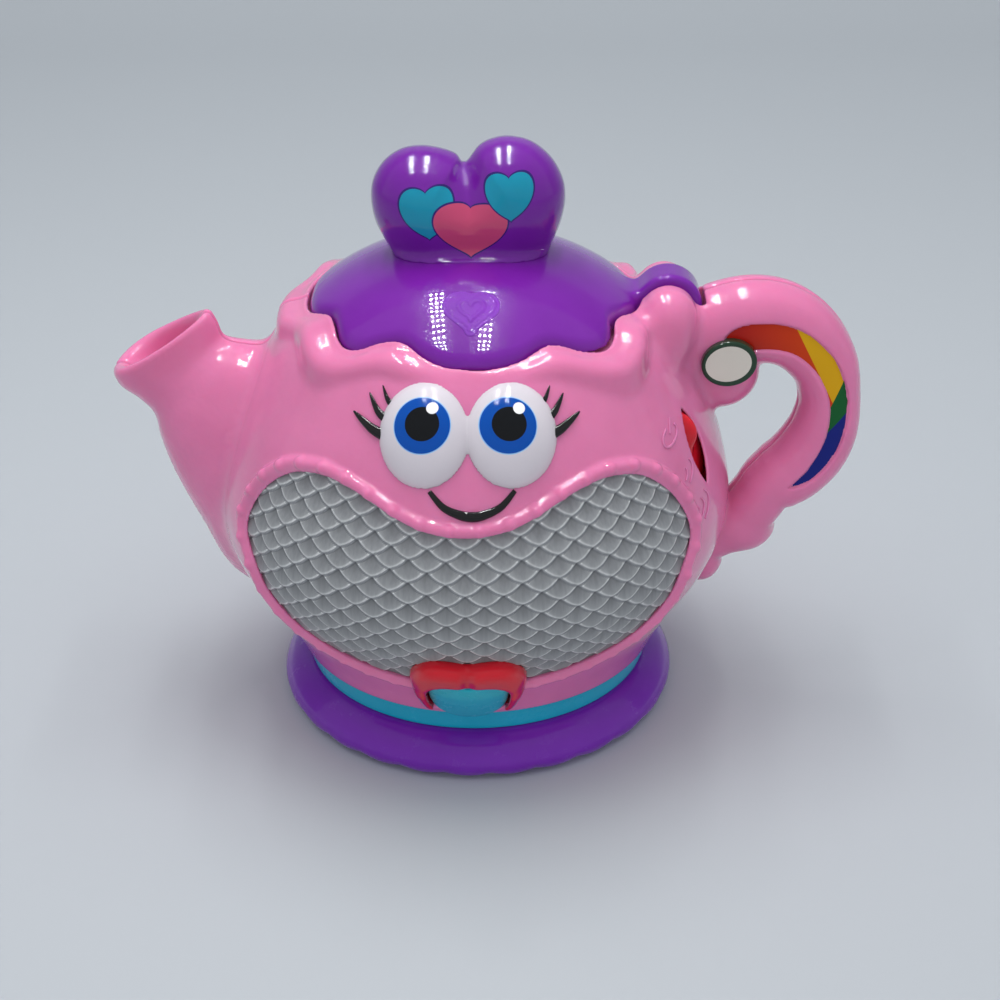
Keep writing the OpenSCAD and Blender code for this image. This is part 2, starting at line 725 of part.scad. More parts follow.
badge_x = pot_r - 0.08 * handle_out;
badge_z = pot_z + 0.732 * pot_h;
badge_front = handle_w * 0.58;
badge_turn = 10;
module oval_badge() {
    color("#D8CFC8") difference() {
        from_front(handle_w * 0.25, badge_front - handle_w * 0.25) translate([badge_x, badge_z]) rotate(badge_turn)
            scale([badge_w / badge_h, 1]) circle(badge_h / 2, $fn = fine);
        handle_solid(0);
        pot_solid(collar_t, pot_z, pot_z + pot_h);
    }
}

plate_w = slot_w * 1.12;
plate_l = slot_l + slide + running_gap;
plate_depth = wall + running_gap + plate_l * plate_l / (5.6 * pot_r);
ridge_h = slot_w * 0.4;
module slider_cap() {
    color("#E01830") at_slider() {
        translate([-plate_w / 2, plate_depth, -slot_l / 2]) cube([plate_w, board_t, plate_l]);
        translate([-slot_w * 0.25, -wall * 0.6, slide / 2 - ridge_h / 2])
            cube([slot_w * 0.5, plate_depth + wall * 0.6 + board_t / 2, ridge_h]);
    }
}

module slide_switch() {
    color("#303338") at_slider() translate([-slot_w / 2, plate_depth + board_t + gap, -slide / 2])
        cube([slot_w, 2 * wall, slide]);
}

box_w = 3 * cell_d + 4 * running_gap + 2 * wall;
box_l = cell_l + 2 * wall + 6 * screw_r;
box_z = wall * 2 + gap;
box_h = cell_d + 2 * wall;
module base_foot() {
    ring = foot_h * 0.42;
    color("#6C2BA0") difference() {
        union() {
            rotate_extrude($fn = fine) difference() {
                union() {
                    intersection() {
                        translate([foot_r - ring, ring * 0.94]) circle(ring, $fn = fine);
                        square([2 * foot_r, foot_h]);
                    }
                    polygon([[0, wall], [foot_r - ring, wall], [foot_r - ring * 0.4, ring * 1.8], [band_r - wall, foot_h],
                             [0, foot_h]]);
                }
                polygon([[0, 2 * wall], [foot_r - 2 * ring, 2 * wall], [foot_r - 2 * ring, foot_h - wall],
                         [band_r - 2 * wall, foot_h + overrun], [0, foot_h + overrun]]);
            }
            at_base_screws() cylinder(h = foot_h, r = boss_r, $fn = fine);
        }
        for (i = [0:scallops - 1]) rotate((i + 0.5) * 360 / scallops) translate([foot_r, 0, -overrun])
            cylinder(h = ring * 0.5 + overrun, r = ring * 0.22, $fn = 24);
        translate([-box_w / 2 - gap, -box_l / 2 - gap, -overrun]) cube([box_w + 2 * gap, box_l + 2 * gap, foot_h]);
        at_base_screws() {
            translate([0, 0, -overrun]) cylinder(h = foot_h * 0.5 + overrun, r = screw_head_r + gap, $fn = fine);
            cylinder(h = 2 * foot_h, r = screw_r + pin_gap, $fn = fine);
        }
    }
}

module base_band() {
    color("#0E96B4") translate([0, 0, foot_h]) difference() {
        cylinder(h = band_h, r = band_r, $fn = fine);
        translate([0, 0, -overrun]) cylinder(h = band_h + 2 * overrun, r = band_r - 2 * wall, $fn = fine);
    }
}

module battery_box() {
    color("#2A2A30") difference() {
        union() {
            translate([-box_w / 2, -box_l / 2, box_z]) cube([box_w, box_l, box_h]);
            translate([-box_w / 2 - 2 * wall, -box_l / 2, foot_h - wall]) cube([box_w + 4 * wall, box_l, wall]);
        }
        translate([-box_w / 2 + wall, -box_l / 2 + wall, box_z - overrun]) cube([box_w - 2 * wall, cell_l + 4 * gap, box_h - wall + overrun]);
        translate([0, box_l / 2 - 3 * screw_r, 0]) cylinder(h = box_z + box_h * 0.6, r = screw_r + pin_gap, $fn = fine);
    }
}

module cell(place) {
    color("#C8A040") translate([place * (cell_d + running_gap), -box_l / 2 + wall + 2 * gap, box_z + cell_d / 2])
        rotate([-90, 0, 0]) {
            cylinder(h = cell_l - 1.2, r = cell_d / 2, $fn = fine);
            cylinder(h = cell_l, r = cell_d * 0.19, $fn = fine);
        }
}

module cell_contacts() {
    color("#B0B4B8") for (x = [-1, 0, 1], end = [0, 1])
        translate([x * (cell_d + running_gap) - cell_d * 0.35, -box_l / 2 + wall + end * (cell_l + 4 * gap - gap), box_z + cell_d * 0.2])
            cube([cell_d * 0.7, gap, cell_d * 0.6]);
}

module battery_door() {
    color("#5A1E90") difference() {
        translate([-box_w / 2, -box_l / 2, wall]) cube([box_w, box_l, wall]);
        translate([0, box_l / 2 - 3 * screw_r, 0]) {
            cylinder(h = wall + screw_r + gap, r = screw_head_r + gap, $fn = fine);
            cylinder(h = foot_h, r = screw_r + pin_gap, $fn = fine);
        }
    }
}

module door_screw() {
    color("#B0B4B8") translate([0, box_l / 2 - 3 * screw_r, wall + screw_r + gap]) screw(box_h * 0.5);
}

main_board_z = box_z + box_h + 2 * wall;
module main_board() {
    color("#1F7A4A") difference() {
        translate([-box_w / 2, -box_l / 2, main_board_z]) cube([box_w, box_l, board_t]);
    }
    color("#202020") translate([-box_w * 0.1, -box_w * 0.1, main_board_z + board_t]) cube([box_w * 0.2, box_w * 0.2, board_t]);
    color("#202020") for (x = [-1, 1], y = [-1, 1])
        translate([x * box_w * 0.42, y * box_l * 0.42, box_z + box_h]) cylinder(h = main_board_z - box_z - box_h, r = screw_r, $fn = fine);
}

module tilt_switch() {
    color("#C0C4C8") translate([-box_w * 0.3, -box_l * 0.25, main_board_z + board_t]) cylinder(h = 4 * board_t, r = 2 * board_t, $fn = fine);
}

speaker_depth = 12;
module speaker() {
    color("#3A3A3E") translate([0, 0, speaker_z]) {
        along_y(speaker_seat - speaker_depth, speaker_seat, speaker_d * 0.32);
        along_y(speaker_seat - wall, speaker_seat + wall / 2, speaker_d / 2 - gap);
    }
}

module speaker_ring() {
    color("#3A3A3E") translate([0, 0, speaker_z]) difference() {
        along_y(speaker_seat - 2 * wall, speaker_seat - wall, speaker_d / 2 + wall);
        along_y(speaker_seat - 3 * wall, speaker_seat, speaker_d * 0.36);
    }
}

module shell_screws() {
    color("#B0B4B8") at_shell_screws() {
        along_y(-4 * screw_r, boss_floor, screw_r);
        along_y(boss_floor, boss_floor + screw_r, screw_head_r);
    }
}

module base_screws() {
    color("#B0B4B8") at_base_screws() translate([0, 0, foot_h * 0.5]) screw(pot_z + 5 * screw_r - foot_h * 0.5);
}

// The origin is on the floor under the middle of the whole toy, which is not the pot's own axis
handle_reach = max([for (k = [0:handle_last], q = handle_ring(k, 0)) q[0]]);
pot_x = (pot_r + spout_out - handle_reach) / 2;
module placed() {
    translate([pot_x, 0, 0]) children();
}

placed() base_foot();
placed() base_band();
placed() front_shell();
placed() back_shell();
placed() window_lens();
placed() light_reflector();
placed() lamp_board();
placed() lid_dome();
placed() lid_emblem();
placed() heart_knob();
placed() knob_screw();
placed() hinge_pin();
placed() tea_well();
placed() eye_domes();
placed() lash_set();
placed() smile_inlay();
placed() heart_bezel();
placed() heart_button();
placed() button_spring();
placed() push_switch();
placed() oval_badge();
placed() rainbow_inlay();
placed() slider_cap();
placed() slide_switch();
placed() main_board();
placed() tilt_switch();
placed() speaker();
placed() speaker_ring();
placed() battery_box();
placed() cell(-1);  // cell_1
placed() cell(0);  // cell_2
placed() cell(1);  // cell_3
placed() cell_contacts();
placed() battery_door();
placed() door_screw();
placed() shell_screws();
placed() base_screws();
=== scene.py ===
# %% [markdown]
# # A toy teapot in moulded plastic
# The real toy is two pink shell halves on a purple battery base, with a hinged purple lid.
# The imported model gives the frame: where every piece is, and which body it moves with.
# Each cell below makes one piece or one finish, and says how it could be made and why this way.

# %% Load the frame
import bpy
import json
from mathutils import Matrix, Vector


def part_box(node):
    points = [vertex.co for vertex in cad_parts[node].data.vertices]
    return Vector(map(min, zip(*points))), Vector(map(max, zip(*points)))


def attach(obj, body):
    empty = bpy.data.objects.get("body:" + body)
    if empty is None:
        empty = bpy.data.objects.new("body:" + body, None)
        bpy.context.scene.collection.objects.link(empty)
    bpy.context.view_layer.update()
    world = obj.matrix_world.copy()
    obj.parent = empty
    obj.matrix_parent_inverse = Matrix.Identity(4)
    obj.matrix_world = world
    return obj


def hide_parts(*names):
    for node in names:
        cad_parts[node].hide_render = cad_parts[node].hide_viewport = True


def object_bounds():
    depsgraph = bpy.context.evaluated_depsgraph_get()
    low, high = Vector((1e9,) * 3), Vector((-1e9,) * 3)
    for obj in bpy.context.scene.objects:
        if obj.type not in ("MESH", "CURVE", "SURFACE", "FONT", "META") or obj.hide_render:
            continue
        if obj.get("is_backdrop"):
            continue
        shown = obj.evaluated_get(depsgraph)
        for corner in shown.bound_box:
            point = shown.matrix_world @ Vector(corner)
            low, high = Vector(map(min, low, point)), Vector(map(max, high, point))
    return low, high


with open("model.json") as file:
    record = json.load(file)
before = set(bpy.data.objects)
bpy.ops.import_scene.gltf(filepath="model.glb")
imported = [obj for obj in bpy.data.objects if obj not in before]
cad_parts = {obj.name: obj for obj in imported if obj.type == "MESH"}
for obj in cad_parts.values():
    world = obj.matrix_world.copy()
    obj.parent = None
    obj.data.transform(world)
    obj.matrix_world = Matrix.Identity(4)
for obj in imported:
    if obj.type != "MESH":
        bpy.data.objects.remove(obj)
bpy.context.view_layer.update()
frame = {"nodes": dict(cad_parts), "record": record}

# %% [markdown]
# ## Tools
# The shapes are computed with numpy, openvdb draws a surface through a block of cells, and the rest
# comes with Blender. The pot's numbers count from its own axis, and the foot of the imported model
# tells where that axis stands.

# %% Tools
import functools
import json
import math

import bmesh
import bpy
import numpy as np
import openvdb
from mathutils import Matrix, Vector

MM = 0.001
foot_low, foot_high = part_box("base_foot")
pot_x = (foot_low.x + foot_high.x) / 2 / MM


def add_object(name, data):
    made = bpy.data.objects.new(name, data)
    bpy.context.scene.collection.objects.link(made)
    return made


print("the pot's own axis stands at x =", round(pot_x, 3), "mm")

# %% [markdown]
# ## Camera
# The camera stands where the photograph was taken: in front, above, and looking down. It was found
# by fitting: the outlines of the model were laid on those of the photograph, and the place, the
# directions and the opening angle were changed until they met. Its three ways are written as a
# matrix, because a slight roll is awkward to give as one rotation.

# %% Camera
view_place = Vector((15.217 + pot_x, -544.788, 362.998)) * MM
view_angle = math.radians(31.462)
view_down = math.radians(28.345)
view_turn = math.radians(-0.709)
view_roll = math.radians(0.492)
ahead = Vector((math.sin(view_turn) * math.cos(view_down), math.cos(view_turn) * math.cos(view_down),
                -math.sin(view_down)))
level = Vector((math.cos(view_turn), -math.sin(view_turn), 0))
upward = level.cross(ahead)
side = level * math.cos(view_roll) - upward * math.sin(view_roll)
upward = level * math.sin(view_roll) + upward * math.cos(view_roll)
camera = add_object("camera", bpy.data.cameras.new("camera"))
camera.data.sensor_width = 36
camera.data.angle = view_angle
camera.matrix_world = Matrix.Translation(view_place) @ Matrix((side, upward, -ahead)).transposed().to_4x4()
camera.data.clip_end = 20
bpy.context.scene.camera = camera
bpy.context.scene.view_settings.view_transform = "Standard"
print("camera at", tuple(round(v, 3) for v in camera.location))

# %% [markdown]
# ## Meshes from numbers
# Nearly all pieces are computed as arrays of points and faces, in millimetres on the pot's own axis,
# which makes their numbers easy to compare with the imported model. Filling the mesh from arrays is
# far quicker than adding faces one by one. A smooth line through a few points replaces long tables.

# %% Meshes from numbers
def mesh_from(name, points, faces):
    """Makes an object from points in mm on the pot's own axis, and faces."""
    mesh = bpy.data.meshes.new(name)
    points = (np.asarray(points, float) + (pot_x, 0, 0)) * MM
    if isinstance(faces, np.ndarray):
        count, corners = faces.shape
        mesh.vertices.add(len(points))
        mesh.vertices.foreach_set("co", points.astype(np.float32).ravel())
        mesh.loops.add(count * corners)
        mesh.loops.foreach_set("vertex_index", faces.astype(np.int32).ravel())
        mesh.polygons.add(count)
        mesh.polygons.foreach_set("loop_start", np.arange(0, count * corners, corners, dtype=np.int32))
        mesh.update(calc_edges=True)
    else:
        mesh.from_pydata(points.tolist(), [], faces)
    mesh.validate()
    mesh.polygons.foreach_set("use_smooth", [True] * len(mesh.polygons))
    mesh.update()
    return add_object(name, mesh)


def line_through(points, steps, closed=False):
    """Smooth line through points, with steps between each pair."""
    points = np.asarray(points, float)
    count = len(points)
    t = (np.arange(steps) / steps)[:, None]
    out = []
    for i in range(count if closed else count - 1):
        near = [(i + k) % count if closed else min(max(i + k, 0), count - 1) for k in (-1, 0, 1, 2)]
        a, b, c, d = points[near]
        out.append(0.5 * (2 * b + (c - a) * t + (2 * a - 5 * b + 4 * c - d) * t**2
                          + (3 * b - a - 3 * c + d) * t**3))
    if not closed:
        out.append(points[-1:])
    return np.vstack(out)


print("mesh tools ready")

# %% [markdown]
# ## Finishes
# Moulded plastic is one colour right through, so its look is in the small things: a slight
# orange-peel in the gloss, faint flow clouds in the colour, light that sinks in and glows in the
# creases, and fine rub marks. One function makes such a finish, and each piece gives its own values.

# %% Shader nodes
def feed(tree, value, socket):
    """Joins a wire to a socket, or sets the socket to a number or a colour."""
    if isinstance(value, (int, float)):
        socket.default_value = value
    elif isinstance(value, tuple):
        socket.default_value = (*value, 1)
    else:
        tree.links.new(value, socket)


def node(tree, kind, **values):
    made = tree.nodes.new(kind)
    for key, value in values.items():
        if hasattr(made, key):
            setattr(made, key, value)
        else:
            made.inputs[key].default_value = value
    return made


class Wire:
    """A number that runs through a shader. Sums written with it become math nodes."""

    def __init__(self, tree, socket):
        self.tree, self.socket = tree, socket

    def do(self, operation, *others):
        made = node(self.tree, "ShaderNodeMath", operation=operation)
        for value, socket in zip((self, *others), made.inputs):
            feed(self.tree, getattr(value, "socket", value), socket)
        return Wire(self.tree, made.outputs[0])

    def __add__(self, other):
        return self.do("ADD", other)

    def __sub__(self, other):
        return self.do("SUBTRACT", other)

    def __mul__(self, other):
        return self.do("MULTIPLY", other)

    def __lt__(self, other):
        return self.do("LESS_THAN", other)

    def __gt__(self, other):
        return self.do("GREATER_THAN", other)


print("shader helpers ready")

# %% Noise and mixes
def place_of(tree):
    return node(tree, "ShaderNodeTexCoord").outputs["Object"]


def noise(tree, scale, detail=3, rough=0.55, stretch=None, turn=(0, 0, 0)):
    """Noise on the object's own coordinates, stretched where its grain has a direction."""
    made = node(tree, "ShaderNodeTexNoise", Scale=scale, Detail=detail, Roughness=rough)
    place = place_of(tree)
    if stretch:
        mapping = node(tree, "ShaderNodeMapping", Scale=stretch, Rotation=turn)
        feed(tree, place, mapping.inputs["Vector"])
        place = mapping.outputs["Vector"]
    feed(tree, place, made.inputs["Vector"])
    return Wire(tree, made.outputs["Fac"])


def between(value, low, high, start=0.3, end=0.7):
    """Maps what runs from start to end onto low to high."""
    limits = {"From Min": start, "From Max": end, "To Min": low, "To Max": high}
    made = node(value.tree, "ShaderNodeMapRange", **limits)
    feed(value.tree, value.socket, made.inputs["Value"])
    return Wire(value.tree, made.outputs["Result"])


def mixed(tree, factor, first, second, blend_type="MIX"):
    made = node(tree, "ShaderNodeMix", data_type="RGBA", blend_type=blend_type)
    sockets = {s.identifier: s for s in made.inputs}
    for key, value in (("Factor_Float", factor), ("A_Color", first), ("B_Color", second)):
        feed(tree, getattr(value, "socket", value), sockets[key])
    return {s.identifier: s for s in made.outputs}["Result_Color"]


def linear(hex_colour):
    """Colour as written in a paint program, turned into the light values that shaders use."""
    parts = [int(hex_colour[i:i + 2], 16) / 255 for i in (1, 3, 5)]
    return tuple(c / 12.92 if c <= 0.04045 else ((c + 0.055) / 1.055) ** 2.4 for c in parts)


print("half grey in light values:", round(linear("#808080")[0], 3))

# %% Plastic finish
def plastic(name, colour, rough=0.22, clouds=0.05, peel=0.1, coat=0.9, rub=0.015,
            glow=0.0, glow_colour=(1.0, 0.35, 0.45), paint=None):
    """Moulded plastic. paint is a function that lays printed colours over the base one."""
    finish = bpy.data.materials.new(name)
    finish.use_nodes = True
    tree = finish.node_tree
    shader = tree.nodes["Principled BSDF"]
    base = linear(colour)
    dark = tuple(c * (1 - clouds) for c in base)
    light = tuple(min(1, c * (1 + clouds) + 0.004) for c in base)
    tone = mixed(tree, between(noise(tree, 45, 4), 0, 1), dark, light)
    if paint:
        tone = paint(tree, tone)
    smear = between(noise(tree, 90, 6, 0.7), rough * 0.82, rough * 1.2)
    scuff = between(noise(tree, 260, 8, 0.5, (0.18, 1.0, 2.2), (0.4, 0.9, 0.3)), 0, rub)
    bump = node(tree, "ShaderNodeBump", Strength=peel, Distance=0.0004)
    feed(tree, (noise(tree, 520, 2) + noise(tree, 130, 2)).socket, bump.inputs["Height"])
    values = {"Base Color": tone, "Roughness": (smear + scuff).socket, "Normal": bump.outputs["Normal"],
              "IOR": 1.5, "Coat Weight": coat, "Coat Roughness": 0.005, "Coat IOR": 1.38,
              "Specular IOR Level": 0.12}
    if glow:
        shader.inputs["Subsurface Radius"].default_value = glow_colour
        values.update({"Subsurface Weight": glow, "Subsurface Scale": 0.004})
    for key, value in values.items():
        feed(tree, value, shader.inputs[key])
    return finish


purple_glow = {"glow": 0.15, "glow_colour": (0.7, 0.2, 1.0)}
teal_glow = {"glow": 0.15, "glow_colour": (0.2, 0.8, 1.0)}
finish_pink = plastic("moulded_pink", "#E07CAA", glow=0.35, glow_colour=(1.0, 0.25, 0.4))
finish_purple = plastic("moulded_purple", "#741A9C", rough=0.2, **purple_glow)
finish_foot = plastic("foot_purple", "#7220AA", rough=0.24, **purple_glow)
finish_teal = plastic("moulded_teal", "#08A2C2", rough=0.25, **teal_glow)
finish_red = plastic("moulded_red", "#D4162A", rough=0.2, glow=0.3, glow_colour=(1.0, 0.15, 0.15))
finish_button = plastic("button_teal", "#12B0C4", rough=0.26, **teal_glow)
finish_black = plastic("gloss_black", "#0C0A0C", rough=0.16, clouds=0.3)
print("plastic finishes made")

# %% [markdown]
# ## Body, finish and replaced nodes
# Each finished piece takes the place of one or more nodes of the imported model. It rides on one body,
# so it moves with that body's joint, and it gets its finish. One helper does this for every piece, so that
# none is forgotten.

# %% Dress and seat a piece
def dress(piece, finish, body, replaced=()):
    """Gives a piece its finish, its body and the nodes that it stands for."""
    piece.data.materials.clear()
    piece.data.materials.append(finish)
    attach(piece, body)
    if replaced:
        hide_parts(*replaced)
    print(piece.name, "faces:", len(piece.data.polygons))

# %% [markdown]
# ## The pot's own line
# A moulded pot is easiest to keep true as one outline turned round its axis. Everything that is
# seated on the belly, from the window to the eyes, asks this outline how far out the skin is.

# %% Skin outline
skin_line = line_through([
    (62.4, 21), (63.1, 23), (66.3, 30.1), (70.1, 37.2), (74.6, 45), (81.1, 55), (86, 67.7), (87, 79.8),
    (84.9, 91.9), (81.1, 103.9), (75.9, 116), (69.2, 128.1), (62.5, 138), (57, 143.7), (49.2, 150.2),
    (39, 156.2), (27, 160.8), (14, 163.6), (0, 164.6)], 14)


def skin_radius(z):
    return np.interp(z, skin_line[:, 1], skin_line[:, 0])


def skin_lean(z):
    """How much shorter the way straight out of the skin is than the way outwards."""
    slope = (skin_radius(np.asarray(z) + 0.5) - skin_radius(np.asarray(z) - 0.5))
    return 1 / np.sqrt(1 + slope**2)


def on_skin(x, z, lift=0.0):
    """Point on the front of the skin, given as seen from straight ahead, raised by lift."""
    radius = skin_radius(z)
    y = -np.sqrt(np.maximum(radius**2 - np.asarray(x) ** 2, 1))
    slope = skin_radius(np.asarray(z) + 0.5) - skin_radius(np.asarray(z) - 0.5)
    way = np.stack([x / radius, y / radius, -slope + 0 * y], -1)
    way = way / np.linalg.norm(way, axis=-1)[..., None]
    return np.stack([np.broadcast_to(x, y.shape), y, np.broadcast_to(z, y.shape)], -1) + way * lift, way


print("widest radius", round(float(skin_line[:, 0].max()), 2), "mm")

# %% [markdown]
# ## Shapes as distances
# A moulded shell has no sharp inner corners: the tool-maker rounds each place where the spout,
# the handle or the collar meets the belly. Boolean cuts and bevels struggle there. A block of
# cells that each know their distance to the surface does it easily, because two distances blend
# into one soft join. The surface is then drawn through the cells where the distance is zero.

# %% Block of distances
def soft_min(a, b, soft):
    if np.ndim(soft) == 0 and not soft:
        return np.minimum(a, b)
    h = np.clip(0.5 + 0.5 * (b - a) / soft, 0, 1)
    return b + (a - b) * h - soft * h * (1 - h)


def soft_max(a, b, soft):
    return -soft_min(-a, -b, soft)


def shared(*shapes):
    """What lies inside all of the shapes."""
    return functools.reduce(np.maximum, shapes)


far_out = 1e3


class Block:
    """Cells in a box, each with its distance to a surface in mm; less than zero is inside."""

    def __init__(self, low, high, cell):
        self.cell = cell
        self.axes = [np.arange(a, b + cell, cell, dtype=np.float32) for a, b in zip(low, high)]
        self.d = np.full([len(a) for a in self.axes], far_out, np.float32)

    def cut(self, low=None, high=None):
        if low is None:
            return (slice(None),) * 3
        return tuple(slice(*np.searchsorted(axis, (a, b))) for axis, a, b in zip(self.axes, low, high))

    def at(self, cut):
        x, y, z = (axis[c] for axis, c in zip(self.axes, cut))
        return x[:, None, None], y[None, :, None], z[None, None, :]

    def add(self, shape, soft=0.0, low=None, high=None):
        cut = self.cut(low, high)
        self.d[cut] = soft_min(self.d[cut], shape(*self.at(cut)), soft)

    def carve(self, shape, soft=0.0, low=None, high=None):
        cut = self.cut(low, high)
        self.d[cut] = soft_max(self.d[cut], -shape(*self.at(cut)), soft)

    def keep(self, shape, soft=0.0):
        self.d = soft_max(self.d, shape(*self.at(self.cut())), soft).astype(np.float32)

    def object(self, name, distances=None):
        """Draws the surface where the distance is zero."""
        d = self.d if distances is None else distances
        band = 3 * self.cell
        grid = openvdb.FloatGrid(band)
        grid.copyFromArray(np.ascontiguousarray(np.clip(d, -band, band), dtype=np.float32))
        points, quads = grid.convertToQuads(0.0)
        points = points * self.cell + np.array([axis[0] for axis in self.axes])
        quads = np.asarray(quads)
        a, b, c = (points[quads[:, k]] for k in (0, 1, 2))
        if np.einsum("ij,ij->", a, np.cross(b, c)) < 0:
            quads = quads[:, ::-1].copy()
        return mesh_from(name, points, quads)


print("block tools ready")

# %% Distances in one view
def inside_outline(x, z, outline):
    """Counts how often a line to the right crosses the outline: an odd count is inside."""
    inside = np.zeros(np.broadcast(x, z).shape, bool)
    for p, q in zip(outline, np.roll(outline, -1, 0)):
        e = q - p
        if e[1]:
            inside ^= ((p[1] <= z) != (q[1] <= z)) & (x < p[0] + (z - p[1]) * e[0] / e[1])
    return inside


def flat_distance(x, z, outline):
    """Distance in the front view to a closed outline; less than zero is inside."""
    best = np.full(np.broadcast(x, z).shape, 1e9, np.float32)
    for p, q in zip(outline, np.roll(outline, -1, 0)):
        e = q - p
        t = np.clip(((x - p[0]) * e[0] + (z - p[1]) * e[1]) / max(e @ e, 1e-9), 0, 1)
        best = np.minimum(best, (x - p[0] - t * e[0]) ** 2 + (z - p[1] - t * e[1]) ** 2)
    return np.where(inside_outline(x, z, outline), -1, 1) * np.sqrt(best)


def from_axis(x, y):
    return np.sqrt(x**2 + y**2)


def front_distance(x, z, line):
    """The same distance for all cells of a block, which share it along y."""
    return flat_distance(x[:, 0], z[0], line)[:, None, :]


print("distance tools ready")

# %% [markdown]
# ## Lid edge and collar
# The lid meets the pot along a wavy edge, and below it the pink collar runs in soft drips like
# icing. Both are drawn as a radius for each direction round the pot, mirrored front to back.

# %% Wavy edges
def around(rows):
    """Radius for each direction: degrees from the front, the same at the back as at the front."""
    line = line_through(rows, 10)
    return lambda x, y: np.interp(np.degrees(np.arctan2(x, np.abs(y))), line[:, 0], line[:, 1])


lid_edge = around([
    (-90, 53.6), (-80, 53.9), (-73, 53.3), (-66.5, 51.4), (-61, 50.4), (-55, 51.8), (-49, 54.2),
    (-43.5, 55.4), (-38, 54.5), (-32, 51.7), (-26, 50.2), (-21, 50.9), (-15, 53.3), (-8, 55.2), (0, 55.8),
    (8, 55.6), (16, 54.4), (22, 52.6), (27, 51.5), (32, 52.4), (37, 54.6), (42, 56.1), (47.6, 56.8),
    (54, 54.8), (59, 52.2), (64, 51.7), (71, 53), (79, 54.6), (90, 55)])
collar_edge = around([
    (-90, 65.2), (-80, 64.8), (-74, 62.8), (-68.5, 61.2), (-62.6, 62), (-54.7, 64.8), (-48, 66.1),
    (-43, 65.4), (-37, 63.3), (-28, 60.6), (-20, 60.4), (-10, 59.6), (0, 59.4), (12, 59.8), (24, 60.8),
    (29.5, 62.3), (35, 64.3), (41, 66.4), (46, 67.8), (52, 67.6), (58, 65.7), (64, 62.9), (71, 61.2),
    (80, 63), (90, 64.5)])
print("lid edge at the front:", float(lid_edge(0.0, -1.0)))

# %% [markdown]
# ## Spout and handle lines
# The spout is a row of ovals, each between a lower and an upper point on the middle plane, and
# the handle is a rounded bar along a bent line. Cells find their nearest place on these lines.

# %% Tables of the spout and the handle
spout_rows = line_through([
    # lower point out and up, upper point out and up, half width, how much the upper end narrows
    (-60, 30, -48, 124, 28, 0.0), (-84.2, 44.7, -60, 127.5, 27.4, 0.05),
    (-95.2, 65.4, -69, 128.3, 23.5, 0.1), (-102.8, 82.8, -75.5, 129, 20.5, 0.15),
    (-106.6, 95.5, -79.5, 129.7, 18.4, 0.2), (-108.4, 105, -82.2, 130.8, 16.2, 0.3),
    (-113, 110.6, -83.6, 132.6, 15.4, 0.4), (-118.8, 115.4, -84.8, 136.6, 16.2, 0.46),
    (-121, 121.2, -87, 141.2, 18, 0.52)], 34)
handle_rows = line_through([
    # middle out and up, half thickness, half width
    (60, 121, 13, 13), (66.9, 127.4, 13.6, 13.3), (83.9, 135.2, 14.3, 13.5), (97, 136.6, 14.1, 13.5),
    (108, 132.1, 12.9, 13.1), (116.5, 122, 11.4, 12.5), (119.6, 110, 10.4, 12), (119, 98.8, 11.3, 12),
    (115.8, 90.2, 12, 12.2), (110.5, 83.2, 11.8, 12.4), (105.3, 79, 11.2, 12.4), (101, 75.5, 9.8, 12.2),
    (97.5, 70, 9.4, 12), (92, 63, 10, 11.5), (80, 57, 10.5, 11), (66, 52, 10.5, 11)], 26)
print("spout rows:", len(spout_rows), "handle rows:", len(handle_rows))

# %% Nearest row and oval section
def nearest_row(x, z, rows, middle, across):
    """For each cell of the middle plane, the row of the table whose own line passes closest."""
    x, z = (np.squeeze(v) for v in (x, z))
    gx, gz = np.meshgrid(x, z, indexing="ij")
    best = np.full(gx.shape, 1e9)
    index = np.zeros(gx.shape, int)
    for k, (m, w, reach) in enumerate(zip(middle, across, rows)):
        along = (gx - m[0]) * w[0] + (gz - m[1]) * w[1]
        off = np.hypot(gx - m[0], gz - m[1])
        score = np.abs(along) + 0.12 * np.maximum(off - reach, 0)
        closer = score < best
        best[closer] = score[closer]
        index[closer] = k
    return index, gx, gz


def oval_distance(s, t, half_s, half_t, power=2.0):
    """Distance to an oval with the given half sizes, near its edge; power over 2 squares it off."""
    u, v = np.abs(s / half_s) + 1e-6, np.abs(t / half_t) + 1e-6
    k = (u**power + v**power) ** (1 / power)
    slope = np.hypot(u ** (power - 1) / half_s, v ** (power - 1) / half_t) / k ** (power - 1)
    return (k - 1) / slope


print("2 mm out of an oval:", round(float(oval_distance(12.0, 0.0, 10, 8)), 2))

# %% Spout
spout_low, spout_high = spout_rows[:, :2], spout_rows[:, 2:4]
spout_middle = (spout_low + spout_high) / 2
spout_way = spout_high - spout_low
spout_reach = np.linalg.norm(spout_way, axis=1) / 2
spout_way /= 2 * spout_reach[:, None]
spout_along = np.column_stack([-spout_way[:, 1], spout_way[:, 0]])
mouth_middle, mouth_way, mouth_out = spout_middle[-1], spout_way[-1], spout_along[-1]


def spout_shape(x, y, z):
    index, gx, gz = nearest_row(x, z, spout_reach, spout_middle, spout_along)
    m, w = spout_middle[index], spout_way[index]
    s = (gx - m[..., 0]) * w[..., 0] + (gz - m[..., 1]) * w[..., 1]
    reach = spout_reach[index]
    narrow = 1 - spout_rows[index, 5] * np.clip(1 + s / reach, 0, 2) / 2
    wide = spout_rows[index, 4] * narrow
    s, reach, wide = (v[:, None, :].astype(np.float32) for v in (s, reach, wide))
    past = ((gx - mouth_middle[0]) * mouth_out[0] + (gz - mouth_middle[1]) * mouth_out[1])[:, None, :]
    return soft_max(oval_distance(s, y, reach, wide, 2.1), past, 2.4)


